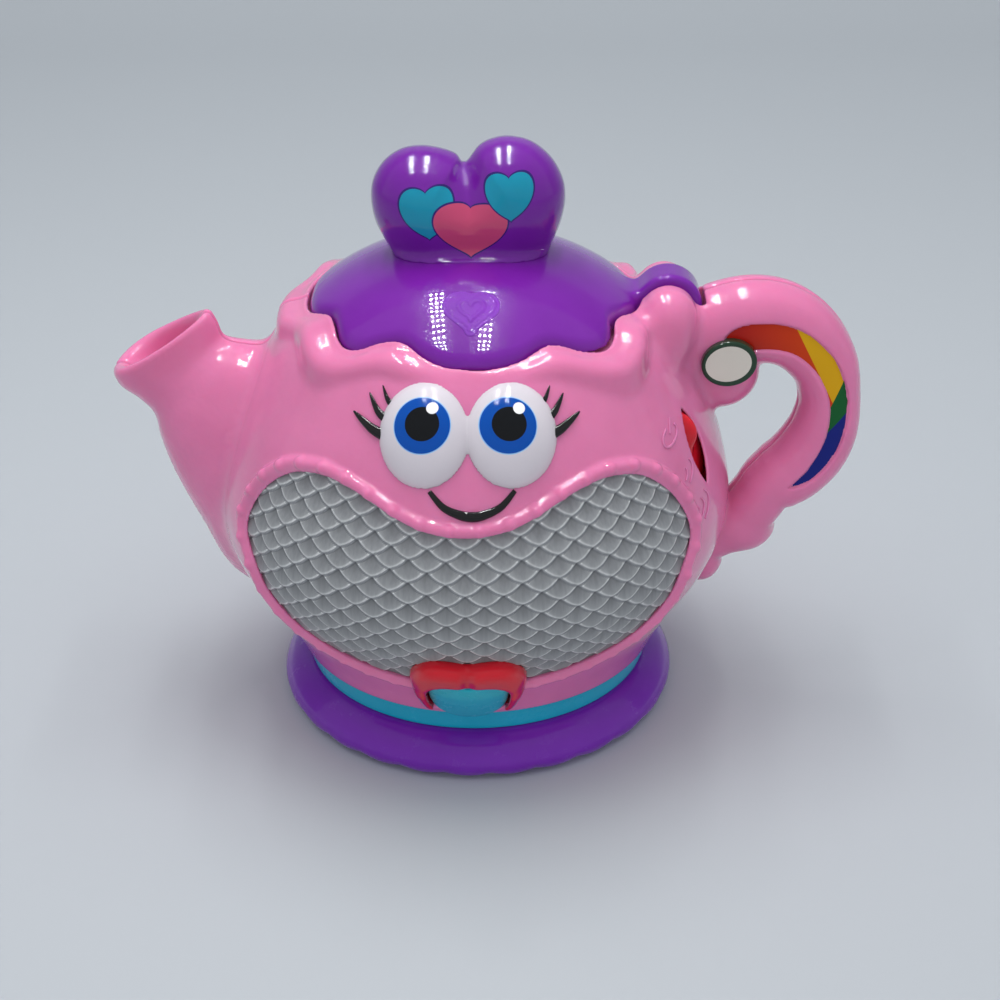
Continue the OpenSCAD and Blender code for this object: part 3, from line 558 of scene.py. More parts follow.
def mouth_shape(x, y, z):
    """The hollow of the mouth, sunk along the mouth's own direction."""
    dx, dz = x - mouth_middle[0], z - mouth_middle[1]
    s = dx * mouth_way[0] + dz * mouth_way[1]
    depth = dx * mouth_out[0] + dz * mouth_out[1]
    sink = np.clip(-depth, 0, 12)
    reach = spout_reach[-1] - 4.6 - sink * 0.25
    wide = (spout_rows[-1, 4] - 5.4) * (1 - 0.44 * np.clip(1 + s / reach, 0, 2) / 2)
    return soft_max(oval_distance(s, y, reach, wide, 2.0), -8 - depth, 1.5)


print("mouth at", np.round(mouth_middle, 1))

# %% Handle
handle_middle = handle_rows[:, :2]
handle_way = np.gradient(handle_middle, axis=0)
handle_way /= np.linalg.norm(handle_way, axis=1)[:, None]


def handle_place(x, z):
    """Nearest place on the handle's line: how far along, and how far out of it."""
    index, gx, gz = nearest_row(x, z, handle_rows[:, 2] * 0 + 4, handle_middle, handle_way)
    m, w = handle_middle[index], handle_way[index]
    out = -(gz - m[..., 1]) * w[..., 0] + (gx - m[..., 0]) * w[..., 1]
    far = np.hypot(gx - m[..., 0], gz - m[..., 1])
    return index, np.where(far > np.abs(out) + 1.5, far, -out)


def handle_shape(x, y, z):
    index, out = handle_place(x, z)
    thick, wide = handle_rows[index, 2], handle_rows[index, 3]
    out, thick, wide = (v[:, None, :].astype(np.float32) for v in (out, thick, wide))
    return oval_distance(out, y, thick, wide, 2.35)


print("handle reaches", round(float(handle_middle[:, 0].max()), 1), "mm from the axis")

# %% [markdown]
# ## Outlines seen from the front
# The window, the bezel and the button were measured in the front view. Their outlines are even, so
# only the right half is listed, and the left half is its mirror image. The shells and the pieces in
# them use the same lines, so they fit each other.

# %% Window outline
face_x = -1.3
window_half = np.array([
    (0, 0.842), (0.1, 0.848), (0.2, 0.869), (0.3, 0.907), (0.41, 0.958), (0.51, 0.99), (0.61, 1),
    (0.75, 0.965), (0.88, 0.86), (0.97, 0.72), (1, 0.6), (0.965, 0.47), (0.89, 0.3), (0.72, 0.14),
    (0.5, 0.06), (0.25, 0.015)])
window_shares = np.vstack([window_half, [(0, 0)], window_half[:0:-1] * (-1, 1)])
window_line = line_through(window_shares, 8, closed=True)


def window_outline(grow):
    half, height, low = 71 + grow, 72 + 2 * grow, 40 - grow
    return np.column_stack([window_line[:, 0] * half + face_x, low + window_line[:, 1] * height])


def mirrored(rows):
    """Closed line through the right-hand points of an even shape and their mirror images."""
    left = [(-x, z) for x, z in rows[::-1] if x > 0]
    return line_through([(face_x + x, z) for x, z in rows + left], 8, closed=True)


bezel_line = mirrored([
    (0, 53.2), (4.6, 54.0), (9.5, 54.4), (13.6, 53.1), (16.9, 50), (18.7, 46), (18.9, 41.6), (18.1, 37),
    (16.5, 32.6), (14.3, 28.6), (11.2, 26.0), (6, 24.4), (0, 24)])
button_line = mirrored([
    (0, 42.0), (3.8, 42.9), (7.9, 43.0), (11.3, 41.6), (13, 38.4), (12.9, 34.6), (12, 30.6), (10, 27.2),
    (6.4, 24.4), (3, 23.4), (0, 23.3)])


def heart_outline(width, height, steps=72):
    t = (np.arange(steps) + 0.5) * 2 * math.pi / steps
    tall = 13 * np.cos(t) - 5 * np.cos(2 * t) - 2 * np.cos(3 * t) - np.cos(4 * t)
    return np.column_stack([width / 2 * np.sin(t) ** 3, height * ((tall + 17) / 29 - 0.5)])


print("window outline points:", len(window_line))

# %% [markdown]
# ## The two pink shells
# All of the pink is one block of distances: belly, collar, spout, handle, the cheeks of the hinge
# and the rope frame of the window. Cutting it at the middle plane leaves the fine parting line
# that runs along the real spout and handle.

# %% Belly, collar, spout and handle
wall = 2.4
shelf_z = 141.39
lid_z = 142.99
hinge_x, hinge_z = 64.466, 143.416
shell = Block((-126, -92, 21), (136, 92, 158), 0.6)


def belly_shape(x, y, z, grow=0.0):
    return ((from_axis(x, y) - skin_radius(z) - grow) * skin_lean(z)).astype(np.float32)


shoulder = skin_line[skin_line[:, 1] > 126][::-1]


def collar_shape(x, y, z):
    """A thick drip: nearly flat on top, falling steeply to the belly along its own wavy edge."""
    radius = from_axis(x, y)
    inner, outer = lid_edge(x, y), collar_edge(x, y)
    top = z - np.interp(inner, shoulder[:, 0], shoulder[:, 1]) + 1.3 + 0.2 * (radius - inner)
    fall = radius - outer + 0.14 * (z - np.interp(outer, shoulder[:, 0], shoulder[:, 1]))
    return soft_max(top, fall, 4.2) * 0.97


def ball(middle, radius, stretch=(1, 1, 1)):
    def shape(x, y, z):
        return np.sqrt(((x - middle[0]) / stretch[0]) ** 2 + ((y - middle[1]) / stretch[1]) ** 2
                       + ((z - middle[2]) / stretch[2]) ** 2) - radius
    return shape


def bar_across(x0, z0, y0, y1, radius):
    """Round bar along Y with ball ends."""
    def shape(x, y, z):
        past = y - np.clip(y, y0, y1)
        return np.sqrt((x - x0) ** 2 + (z - z0) ** 2 + past**2) - radius
    return shape


shell.add(belly_shape)
shell.add(collar_shape, 0.9, (-80, -80, 122), (80, 80, 158))
shell.add(spout_shape, 3.6, (-126, -40, 26), (-40, 40, 150))
shell.add(handle_shape, 4.5, (52, -24, 96), (136, 24, 156))
shell.add(handle_shape, 1.5, (52, -24, 34), (136, 24, 96))
for turn in (-1, 1):
    shell.add(bar_across(hinge_x - 0.9, hinge_z - 0.4, *sorted((turn * 9.5, turn * 12.0)), 9.0), 4.0,
              (34, -40, 120), (96, 40, 158))
    shell.add(ball((61.5, turn * 12, 135.5), 9.6), 6.0, (34, -40, 112), (96, 40, 158))
print("belly block:", shell.d.shape)

# %% [markdown]
# ## Handle root and badge pad
# Below the loop the handle runs into the belly with a second drip, and above it a round pad carries
# the badge. Both are balls stretched to ovals, which the block blends in with a wide soft join.

# %% Handle root and badge pad
def root_drip(x, y, z):
    return soft_min(ball((91.8, 0, 60.2), 1, (12.8, 11.6, 9.8))(x, y, z) * 11,
                    ball((79, 0, 47.6), 1, (8, 9.6, 9.5))(x, y, z) * 8.5, 2.0)


shell.add(root_drip, 1.6, (60, -24, 30), (116, 24, 80))
shell.add(lambda x, y, z: ball((82, 0, 118.6), 1, (13.6, 12.2, 12.6))(x, y, z) * 12, 4.0,
          (56, -24, 94), (108, 24, 140))
print("root drip and badge pad joined")

# %% [markdown]
# ## Rope frame
# The window has a rim like a rope, with a row of pearls on it. Both are rows of balls that follow the
# window's outline over the skin: close together they melt into a rope, farther apart they stay pearls.
# A curve with a bevel would be quicker, but it would not melt into the belly.

# %% Rope frame round the window
frame_path = window_outline(2.2)
frame_points, frame_way = on_skin(frame_path[:, 0], frame_path[:, 1], -0.5)
loop, ways = (np.vstack([rows, rows[:1]]) for rows in (frame_points, frame_way))
walk = np.concatenate([[0], np.cumsum(np.linalg.norm(np.diff(loop, axis=0), axis=1))])


def along_frame(distance):
    """Place on the frame's line, and the way out of the skin there, at a walked distance."""
    return (np.column_stack([np.interp(distance, walk, column) for column in rows.T])
            for rows in (loop, ways))


rope_places, _ = along_frame(np.arange(0, walk[-1], 0.7))
pearl_count = int(walk[-1] / 8.9)
pearl_places, pearl_ways = along_frame((np.arange(pearl_count) + 0.5) * walk[-1] / pearl_count)
rope = np.full(shell.d.shape, 50, np.float32)
for places, size in ((rope_places, 2.3), (pearl_places + pearl_ways * 1.1, 2.0)):
    for centre in places:
        radius = size if size > 2.1 or centre[2] > 66 else 1.5
        cut = shell.cut(centre - 6, centre + 6)
        x, y, z = shell.at(cut)
        near = np.sqrt((x - centre[0]) ** 2 + (y - centre[1]) ** 2 + (z - centre[2]) ** 2) - radius
        rope[cut] = soft_min(rope[cut], near, 0.0 if radius > 2.1 else 0.8)
close = rope < 4
shell.d[close] = soft_min(shell.d[close], rope[close], 1.2)
print("frame length", round(walk[-1], 1), "mm, pearls", pearl_count)

# %% [markdown]
# ## Hollows and seats
# The housing is hollow, as a moulding is. The same skin, moved inwards by the wall, hollows out the
# belly and the spout. The lid, the hinge, the window and the button's sleeve then each take away
# their own seat, with a soft edge where the real one is rounded.

# %% Hollows, seats and openings
inside = (-110, -90, 20), (110, 90, 141)
shell.carve(lambda x, y, z: np.maximum(belly_shape(x, y, z, -wall), z - (shelf_z - wall)), 0, *inside)


def spout_hollow(x, y, z):
    depth = (x - mouth_middle[0]) * mouth_out[0] + (z - mouth_middle[1]) * mouth_out[1]
    return np.maximum(spout_shape(x, y, z) + wall, depth + 14)


shell.carve(spout_hollow, 0, (-122, -40, 26), (-60, 40, 140))
shell.carve(mouth_shape, 3.4, (-126, -26, 100), (-74, 26, 150))
shell.carve(lambda x, y, z: np.maximum(from_axis(x, y) - 47.3, 134 - z), 0.4)


def lid_seat(x, y, z):
    return soft_max(from_axis(x, y) - lid_edge(x, y), shelf_z - z, 0)


shell.carve(lid_seat, 1.5, (-60, -60, 138), (60, 60, 158))
shell.carve(lambda x, y, z: np.maximum(lid_seat(x - 0.4, y, z), lid_z - z), 1.0,
            (0, -60, 138), (64, 60, 158))
gap_radius, knuckle_half = 11.7, 7.5


def hinge_gap(x, y, z):
    bore = np.hypot(x - hinge_x, z - hinge_z) - gap_radius
    trough = np.maximum(np.abs(x - hinge_x / 2) - hinge_x / 2, hinge_z - z)
    return np.maximum(np.minimum(bore, trough), np.abs(y) - knuckle_half)


shell.carve(hinge_gap, 0.8, (0, -12, 126), (90, 12, 158))
window_cut = shell.cut((-90, -92, 30), (90, 0, 130))
wx, _, wz = shell.at(window_cut)
shell.d[window_cut] = soft_max(shell.d[window_cut], -front_distance(wx, wz, window_outline(0.0)), 0.5)
sleeve_cut = shell.cut((-30, -92, 15), (30, -30, 70))
wx, _, wz = shell.at(sleeve_cut)
sleeve_flat = front_distance(wx, wz, button_line) - 0.7 - 1.6 * np.clip((wz - 25) / 4, 0, 1)
shell.d[sleeve_cut] = soft_max(shell.d[sleeve_cut], -sleeve_flat, 0)
print("hollows cut")

# %% [markdown]
# ## Slot and recess
# The slider moves straight along its slot, so the slot is cut on a plane of its own, turned and
# leaned to the pot there. The recess for the rainbow is cut next, before the halves part.

# %% Slot for the volume slider
slider_turn, slider_out, slider_z = math.radians(65), 79.733, 107.064
slider_down = Vector((0.34051, -0.15878, -0.92674)).normalized()
slider_across = Vector((math.cos(slider_turn), math.sin(slider_turn), 0))
slider_in = (-slider_down).cross(slider_across)
slider_middle = Vector((slider_out * math.sin(slider_turn), -slider_out * math.cos(slider_turn), slider_z))


def slider_frame(x, y, z):
    """Cell coordinates on the slider's own face: across, into the pot, and up along the slot."""
    d = (x - slider_middle.x, y - slider_middle.y, z - slider_middle.z)
    return (sum(a * b for a, b in zip(d, way)) for way in (slider_across, slider_in, -slider_down))


def slot_shape(x, y, z):
    across, depth, up = slider_frame(x, y, z)
    bow = (26.6**2 / 9.2 + 9.2) / 4
    lens = np.maximum(np.hypot(across - bow + 4.6, up), np.hypot(across + bow - 4.6, up)) - bow
    return np.maximum(lens, np.abs(depth) - 9)


def slot_pocket(x, y, z):
    """The wall is thinner round the slot, so the red plate can lie close behind it."""
    across, depth, up = slider_frame(x, y, z)
    return shared(belly_shape(x, y, z, -1.1), np.abs(across) - 9.6, np.abs(up) - 27)


shell.carve(slot_pocket, 0, (30, -75, 75), (92, -8, 140))
shell.carve(slot_shape, 0.7, (52, -60, 88), (92, -12, 126))
print("slot cut")

# %% Recess for the rainbow
rainbow_outer = line_through([
    (81.9, 135.4), (84.4, 137.9), (88.5, 139.7), (94.2, 140.2), (99.9, 139.9), (104.7, 138.7), (109, 136.4),
    (115.1, 131.4), (119.3, 126.1), (122.3, 119.8), (124.2, 113.3), (124.8, 106.8), (124, 99.7), (122, 93),
    (118.7, 87), (113.6, 82), (109.4, 79.9), (106.2, 79.6)], 5)
rainbow_inner = line_through([
    (106.2, 79.6), (109.4, 83), (112.2, 86.4), (115.1, 91.2), (117, 96.1), (118.1, 101.5), (118.2, 108.6),
    (117.1, 113.9), (115.1, 118.3), (112.2, 122.5), (108.7, 126.2), (104.3, 129.1), (99, 130.4),
    (94.2, 130.5), (89, 129.9), (84.6, 131), (81.9, 135.4)], 5)
rainbow_outline = np.vstack([rainbow_outer, rainbow_inner])
handle_cut = shell.cut((70, -24, 60), (136, 0, 150))
hx, hy, hz = shell.at(handle_cut)
recess_deep = 1.3
recess = soft_max(front_distance(hx, hz, rainbow_outline), -handle_shape(hx, hy, hz) - recess_deep, 0.6)
shell.d[handle_cut] = soft_max(shell.d[handle_cut], -recess, 0.7)
print("recess cut")

# %% [markdown]
# ## Front and back
# The block is now split. A small gap with rounded edges at the middle plane makes the parting line,
# and the back gets its sound holes, and round posts with wells where screws join the halves.

# %% Front and back shells
_, cell_y, cell_z = shell.at(shell.cut())
shell.d = soft_max(shell.d, 23.0 - cell_z, 1.0)
parting = 0.18
pot_front = shell.object("pot_front", soft_max(shell.d, cell_y + parting, 1.3))
pot_back_field = soft_max(shell.d, parting - cell_y, 1.3)


def grille(x, y, z):
    """Sound holes in rings over the speaker."""
    hole_radius, ring_gap, speaker_z = 1.3, 4, 82.64
    best = np.hypot(x, z - speaker_z) - hole_radius
    turn = np.arctan2(z - speaker_z, x)
    for ring in (1, 2, 3, 4):
        step = 2 * math.pi / (6 * ring)
        nearest = np.round(turn / step) * step
        reach = ring_gap * ring
        hole = np.hypot(x - reach * np.cos(nearest), z - speaker_z - reach * np.sin(nearest)) - hole_radius
        best = np.minimum(best, hole)
    return np.maximum(best, 60 - y)


def screw_wells(x, y, z, radius, start):
    """Round bars along the deep holes where the shell screws go in from behind."""
    best = far_out
    for sx, sz in ((-45.24, 31.52), (45.24, 31.52), (-50.46, 125.24), (50.46, 125.24)):
        best = np.minimum(best, np.hypot(x - sx, z - sz) - radius)
    return np.maximum(best, start - y)


cut = shell.cut((-60, 7, 24), (60, 92, 140))
x, y, z = shell.at(cut)
posts = np.maximum(screw_wells(x, y, z, 5.2, 7.6), belly_shape(x, y, z, -0.5))
pot_back_field[cut] = soft_min(pot_back_field[cut], posts, 0.6)
holes = np.minimum(grille(x, y, z), screw_wells(x, y, z, 3.25, 9.8))
pot_back_field[cut] = soft_max(pot_back_field[cut], -holes, 0.5)
pot_back = shell.object("pot_back", pot_back_field)
dress(pot_front, finish_pink, "pot", ["front_shell"])
dress(pot_back, finish_pink, "pot", ["back_shell"])

# %% [markdown]
# ## Window lens
# The lens is a frosted moulding covered in fish scales. The scales are real relief: each row's
# rounded lower edges lie over the row below, so every scale is thickest at its tip and sinks
# towards its top. The rows go round the belly, so they crowd together where the pot narrows.

# %% Lens relief
scale_wide = math.radians(7.9)
scale_row = 3.72
scale_lift = 0.95


def scale_height(turn, up):
    """Height of the scales at a direction round the pot and a way up, and how near the tip it is."""
    best = np.zeros(np.broadcast(turn, up).shape)
    near_tip = np.zeros(best.shape)
    found = np.zeros(best.shape, bool)
    top_row = np.floor(up / scale_row)
    for step in (3, 2, 1, 0, -1):
        row = top_row + step
        across = turn / scale_wide - 0.5 * np.mod(row, 2)
        across = (across - np.round(across)) * 2
        edge = row * scale_row + 3.9 * np.abs(across) ** 1.75 - 1.9
        rise = up - edge
        hit = (rise >= 0) & ~found
        lip = np.sin(np.clip(rise / 1.3, 0, 1) * math.pi / 2)
        fall = np.clip((rise - 0.9) / 7.5, 0, 1)
        height = scale_lift * (0.25 + 0.75 * lip) * (1 - fall) + 0.45 * (1 - across**2) * (1 - fall)
        best = np.where(hit, height, best)
        near_tip = np.where(hit, 1 - fall, near_tip)
        found |= hit
    return best, near_tip


turns = np.radians(np.arange(-62, 60, 0.26))
ups = np.arange(0, 90, 0.36)
fine_z = np.linspace(36, 116, 900)
fine_arc = np.concatenate([[0], np.cumsum(np.hypot(np.diff(fine_z), np.diff(skin_radius(fine_z))))])
grid_turn, grid_z = np.meshgrid(turns, np.interp(ups, fine_arc, fine_z), indexing="ij")
base_x = skin_radius(grid_z) * np.sin(grid_turn)
relief, near_tip = scale_height(grid_turn + math.radians(0.9), np.broadcast_to(ups, grid_z.shape))
lens_skin, lens_ways = on_skin(base_x, grid_z)
number = np.arange(grid_z.size).reshape(grid_z.shape)
corners = number[:-1, :-1], number[1:, :-1], number[1:, 1:], number[:-1, 1:]
lens_quads = np.stack(corners, -1).reshape(-1, 4)
print("scales reach", round(float(relief.max()), 2), "mm")

# %% Lens body
middle_x = (base_x[:-1, :-1] + base_x[1:, 1:]) / 2
middle_z = (grid_z[:-1, :-1] + grid_z[1:, 1:]) / 2
kept = inside_outline(middle_x, middle_z, window_outline(1.2)).ravel()
kept &= ~inside_outline(middle_x, middle_z, (button_line - (face_x, 34)) * 1.2 + (face_x, 34)).ravel()
lens_quads = lens_quads[kept]
# The back is a smooth copy of the same faces, and the open edges between the two are closed.
sides = np.concatenate([lens_quads[:, [k, (k + 1) % 4]] for k in range(4)])
keys = np.sort(sides, axis=1) @ np.array([grid_z.size, 1])
_, first, times = np.unique(keys, return_index=True, return_counts=True)
rim = sides[first[times == 1]]
far = grid_z.size
closed = np.vstack([lens_quads, lens_quads[:, ::-1] + far,
                    np.column_stack([rim[:, 1], rim[:, 0], rim[:, 0] + far, rim[:, 1] + far])])
lens_points = np.vstack([(lens_skin + lens_ways * (relief - 2.0)[..., None]).reshape(-1, 3),
                         (lens_skin - lens_ways * 3.2).reshape(-1, 3)])
used = np.unique(closed)
fresh = np.full(2 * far, -1)
fresh[used] = np.arange(len(used))
lens = mesh_from("scale_lens", lens_points[used], fresh[closed].astype(np.int32))
tip_values = np.concatenate([near_tip.ravel(), near_tip.ravel()])[used].astype(np.float32)
lens.data.attributes.new("tip", "FLOAT", "POINT").data.foreach_set("value", tip_values)
print("lens faces:", len(closed))

# %% [markdown]
# ## Frosted finish
# Frosted plastic scatters light and shows little of what is behind it. Much transmission needs many
# samples, so this finish is a pale grey with a little of it. The values named tip, stored on the mesh
# when the scales were made, tell the finish how near each point is to the tip of its scale, so that it
# can paint shade under the row above. Painted highlight lightens the raised edges, and painted shade
# darkens the hollows between the scales.

# %% Frosted lens finish
def lens_finish():
    finish = plastic("frosted_lens", "#B4B6B8", rough=0.34, clouds=0.05, peel=0.08, coat=0.3, rub=0.03)
    tree = finish.node_tree
    shader = tree.nodes["Principled BSDF"]
    shader.inputs["Transmission Weight"].default_value = 0.12
    # Painted highlight and shade: raised edges are painted bright, and the hollows between the scales are
    # painted dark.
    edge = Wire(tree, node(tree, "ShaderNodeNewGeometry").outputs["Pointiness"])
    ramp = node(tree, "ShaderNodeValToRGB")
    for place, shade in ((0.0, "#82848A"), (0.42, "#989A9E"), (0.6, "#A4A6A8"), (1.0, "#E8E8E8")):
        ramp.color_ramp.elements.new(place).color = (*linear(shade), 1)
    for unused in (0, -1):
        ramp.color_ramp.elements.remove(ramp.color_ramp.elements[unused])
    feed(tree, between(edge, 0, 1, 0.44, 0.56).socket, ramp.inputs["Fac"])
    # Painted shade: each scale is painted dark where it comes out from under the row above, which shades
    # it, and light at its own tip.
    tip = Wire(tree, node(tree, "ShaderNodeAttribute", attribute_name="tip").outputs["Fac"])
    streaks = between(noise(tree, 900, 2, 0.5, (1.0, 1.0, 0.12)), 0.9, 1.08)
    shade = tip.do("POWER", 1.6).do("MULTIPLY_ADD", 0.5, 0.6) * streaks
    grey = node(tree, "ShaderNodeCombineColor")
    for socket in grey.inputs:
        feed(tree, shade.socket, socket)
    tone = mixed(tree, 1.0, ramp.outputs["Color"], grey.outputs["Color"], "MULTIPLY")
    feed(tree, tone, shader.inputs["Base Color"])
    return finish


dress(lens, lens_finish(), "pot", ["window_lens"])

# %% [markdown]
# ## Lid
# The lid is the top of the same outline, cut by the wavy edge, with a strap that runs over the
# hinge as a round knuckle. The strap and the dome flow into each other, so the lid is a block too.

# %% Lid
lid = Block((-60, -60, 140), (80, 60, 168), 0.6)
dome_r = skin_line[::-1, 0]
dome_height = skin_line[::-1, 1]


def dome_shape(x, y, z):
    radius = from_axis(x, y)
    top = np.interp(radius, dome_r, dome_height)
    slope = np.interp(radius + 0.5, dome_r, dome_height) - np.interp(radius - 0.5, dome_r, dome_height)
    return ((z - top) / np.sqrt(1 + slope**2)).astype(np.float32)


lid.add(dome_shape)
lid.keep(lambda x, y, z: from_axis(x, y) - lid_edge(x, y) + 0.6, 2.8)


def strap(x, y, z):
    hump = np.hypot(x - hinge_x + 0.4, z - hinge_z) - 11
    run = np.maximum(np.abs(x - 52) - 12, z - 148.2 - 0.02 * (x - 52) ** 2)
    return soft_max(np.maximum(soft_min(hump, run, 3.0), hinge_z - 9.5 - z), np.abs(y) - 6.9, 2.2)


lid.add(strap, 3.0, (36, -12, 140), (80, 12, 162))
lid.keep(lambda x, y, z: np.where(x < 52, lid_z - z, -1), 0)
lid.carve(lambda x, y, z: np.maximum(dome_shape(x, y, z) + wall, from_axis(x, y) - 45), 0,
          (-50, -50, 140), (50, 50, 168))
lid_shell = lid.object("lid_shell")
dress(lid_shell, finish_purple, "lid", ["lid_dome"])

# %% [markdown]
# ## Emblem on the lid
# The emblem is a faint frosted heart with a smaller one in it, hardly raised from the dome.

# %% Emblem
emblem = Block((-14, -50, 142), (16, -28, 163), 0.3)
emblem_middle = (0.6, -39.6)


def emblem_shape(x, y, z):
    across, up = x[:, 0] - emblem_middle[0], (y[0] - emblem_middle[1])
    outer = flat_distance(across, up.T, heart_outline(13.6, 12))[:, :, None] - 2.3
    inner = flat_distance(across, up.T, heart_outline(8, 7.4) + (0, 0.3))[:, :, None]
    height = 0.2 + 0.2 * (np.abs(inner) < 0.55) + 0.12 * (np.abs(outer + 1.8) < 0.5) + 0 * z
    return soft_max(dome_shape(x, y, z) - height, outer, 0.3)


emblem.add(emblem_shape)
emblem.keep(lambda x, y, z: -dome_shape(x, y, z) - 0.25, 0)
lid_emblem = emblem.object("frosted_emblem")
finish_emblem = plastic("emblem_frosted", "#7E30AE", rough=0.5, clouds=0.12, peel=0.5, coat=0.1, glow=0.15)
dress(lid_emblem, finish_emblem, "lid", ["lid_emblem"])

# %% [markdown]
# ## Heart knob
# The knob is a fat heart that stands on the lid. Its outline is drawn in the front view, and the
# distance to that outline sets how thick the heart is there, so it swells like a cushion and
# dips into a valley below the notch. Three hearts are printed on the front.

# %% Heart knob
knob_outline = line_through([
    (-1.8, 190.4), (2.6, 195.6), (7.5, 197.9), (13.1, 198.4), (19.8, 196.6), (25.8, 191.6), (29.4, 185),
    (30.2, 178.6), (29, 171.8), (26.8, 166), (24.4, 161), (22, 155), (10, 148), (-10, 148), (-22.4, 155),
    (-24.8, 160.4), (-27.8, 165.4), (-30.8, 172), (-31.9, 179), (-31, 185.4), (-27.4, 191), (-21.8, 194.6),
    (-15.2, 195.5), (-9, 194.5), (-4.4, 192.8)], 8, closed=True)
knob = Block((-36, -24, 148), (36, 24, 202), 0.5)
knob_round, knob_half = 17.0, 16.8


def knob_shape(x, y, z):
    out = np.maximum(front_distance(x, z, knob_outline) + knob_round, 0)
    valley = 1 - 0.2 * np.exp(-((x + 0.8) / 3.2) ** 2) * np.clip((z - 172) / 16, 0, 1)
    low = np.clip((177 - z) / 16, 0, 1)
    neck = 1 - 0.2 * low**2 * (3 - 2 * low)
    return oval_distance(out, y / (valley * neck), knob_round, knob_half, 2.0)


def knob_root(x, y, z):
    """A low oval step, from which the heart rises out of the dome."""
    return soft_max(dome_shape(x, y, z) - 0.5, oval_distance(x + 0.2, y, 23.6, 17.4, 2.5), 1.2)


knob.add(knob_shape)
knob.add(knob_root, 4.5)
knob.keep(lambda x, y, z: -dome_shape(x, y, z) - 0.15, 0)
heart_knob = knob.object("heart_knob_moulding")
print("knob block", knob.d.shape)

# %% [markdown]
# ## Printed hearts
# The hearts on the knob are print, which has no thickness, so they belong in the finish. A formula
# on the object's own coordinates says where the ink is. It is sharp from near by, and needs no
# picture. A slightly larger dark heart under each one leaves a thin line round it.

# %% Printed hearts
def heart_field(across, up, width, height):
    """Less than zero inside a heart: two circles over a point, drawn with the heart's own formula."""
    u = across.do("DIVIDE", width / 2) * 1.14
    v = up.do("DIVIDE", height / 2) * 1.12 + 0.12
    ring = u * u + v * v - 1.0
    return ring * ring * ring - u * u * (v * v * v)


def local_plane(tree, centre, turn):
    """Across and up on the front view, in mm, from a centre and turned."""
    split = node(tree, "ShaderNodeSeparateXYZ")
    feed(tree, place_of(tree), split.inputs[0])
    x, y, z = (Wire(tree, socket) for socket in split.outputs)
    dx = x.do("MULTIPLY_ADD", 1 / MM, -(centre[0] + pot_x))
    dz = z.do("MULTIPLY_ADD", 1 / MM, -centre[1])
    c, s = math.cos(math.radians(turn)), math.sin(math.radians(turn))
    return dx * c + dz * s, dz * c - dx * s, y


def print_hearts(tree, tone):
    rows = [((-13.3, 178.7), 4, 16.8, 16.6, "#0A90AC"), ((0.2, 173.2), 0, 23.2, 17.4, "#C64870"),
            ((12.5, 184), 3, 15.0, 14.6, "#0A90AC")]
    for centre, turn, width, height, colour in rows:
        across, up, depth = local_plane(tree, centre, turn)
        front = depth < -2 * MM
        for grow, shade in ((1.1, "#2A1A6C"), (0.0, colour)):
            inside = heart_field(across, up, width + grow, height + grow) < 0.0
            tone = mixed(tree, inside * front, tone, linear(shade))
    return tone


finish_knob = plastic("knob_printed", "#701A98", rough=0.2, paint=print_hearts, **purple_glow)
dress(heart_knob, finish_knob, "lid", ["heart_knob"])

# %% [markdown]
# ## Eyes
# The eyes are two domes moulded in one white piece, each leaning back with the skin behind it.
# They follow the photograph in place and size only; the irises are plain rings, drawn by the
# distance from each eye's own middle.

# %% Eye domes
eye_places = []
eye_halves = 14.4, 16.8, 9.3
eyes = Block((-34, -92, 104), (32, -48, 150), 0.4)


def eye_shape(side_sign):
    middle_x = -0.2 + side_sign * 13.3
    place, way = on_skin(np.array([middle_x]), np.array([127.8]), -3.4)
    place, out = place[0], way[0]
    out = out / np.linalg.norm(out)
    across = np.array([1.0, 0, 0]) - out * out[0]
    across /= np.linalg.norm(across)
    up = np.cross(across, out)
    up = up if up[2] > 0 else -up
    eye_places.append((place, out, across, up))

    def shape(x, y, z):
        dx, dy, dz = x - place[0], y - place[1], z - place[2]
        parts = [(dx * w[0] + dy * w[1] + dz * w[2]) / r for w, r in zip((across, up, out), eye_halves)]
        return (np.sqrt(sum(p**2 for p in parts)) - 1) * 11
    return shape


for turn in (-1, 1):
    eyes.add(eye_shape(turn), 0.7)
eyes.keep(lambda x, y, z: -belly_shape(x, y, z, 0.05), 0.0)
eye_domes = eyes.object("eye_domes_moulding")
print("eye middles:", [tuple(np.round(p[0], 1)) for p in eye_places])

# %% [markdown]
# ## Irises
# Iris, pupil and glint are round spots of print, laid over each other from large to small. They are
# measured along the eye's own two ways across its dome, so they stay round when the dome leans back.

# %% Printed irises
def print_irises(tree, tone):
    for (place, out, across, up), (iris_across, iris_up) in zip(eye_places, ((0.55, 2.5), (-1.85, 2.5))):
        offset = node(tree, "ShaderNodeVectorMath", operation="SUBTRACT")
        feed(tree, place_of(tree), offset.inputs[0])
        offset.inputs[1].default_value = tuple((place + (pot_x, 0, 0)) * MM)
        axes = []
        for way in (across, up):
            dot = node(tree, "ShaderNodeVectorMath", operation="DOT_PRODUCT")
            feed(tree, offset.outputs["Vector"], dot.inputs[0])
            dot.inputs[1].default_value = tuple(way / MM)
            axes.append(Wire(tree, dot.outputs["Value"]))
        for radius, shade, shift in ((8.75, "#8FC0EC", (0, 0)), (8.45, "#004CA8", (0, 0)),
                                     (5.2, "#0C0E12", (0.2, 0.4)), (1.8, "#F4F4F6", (3.2, 5.2))):
            u, v = axes[0] - (iris_across + shift[0]), axes[1] - (iris_up + shift[1])
            tone = mixed(tree, (u * u + v * v).do("SQRT") < radius, tone, linear(shade))
    return tone


finish_eye = plastic("eye_white", "#D6CFD6", rough=0.14, clouds=0.02, coat=0.4, glow=0.2,
                     glow_colour=(1, 0.9, 0.9), paint=print_irises)
dress(eye_domes, finish_eye, "pot", ["eye_domes"])

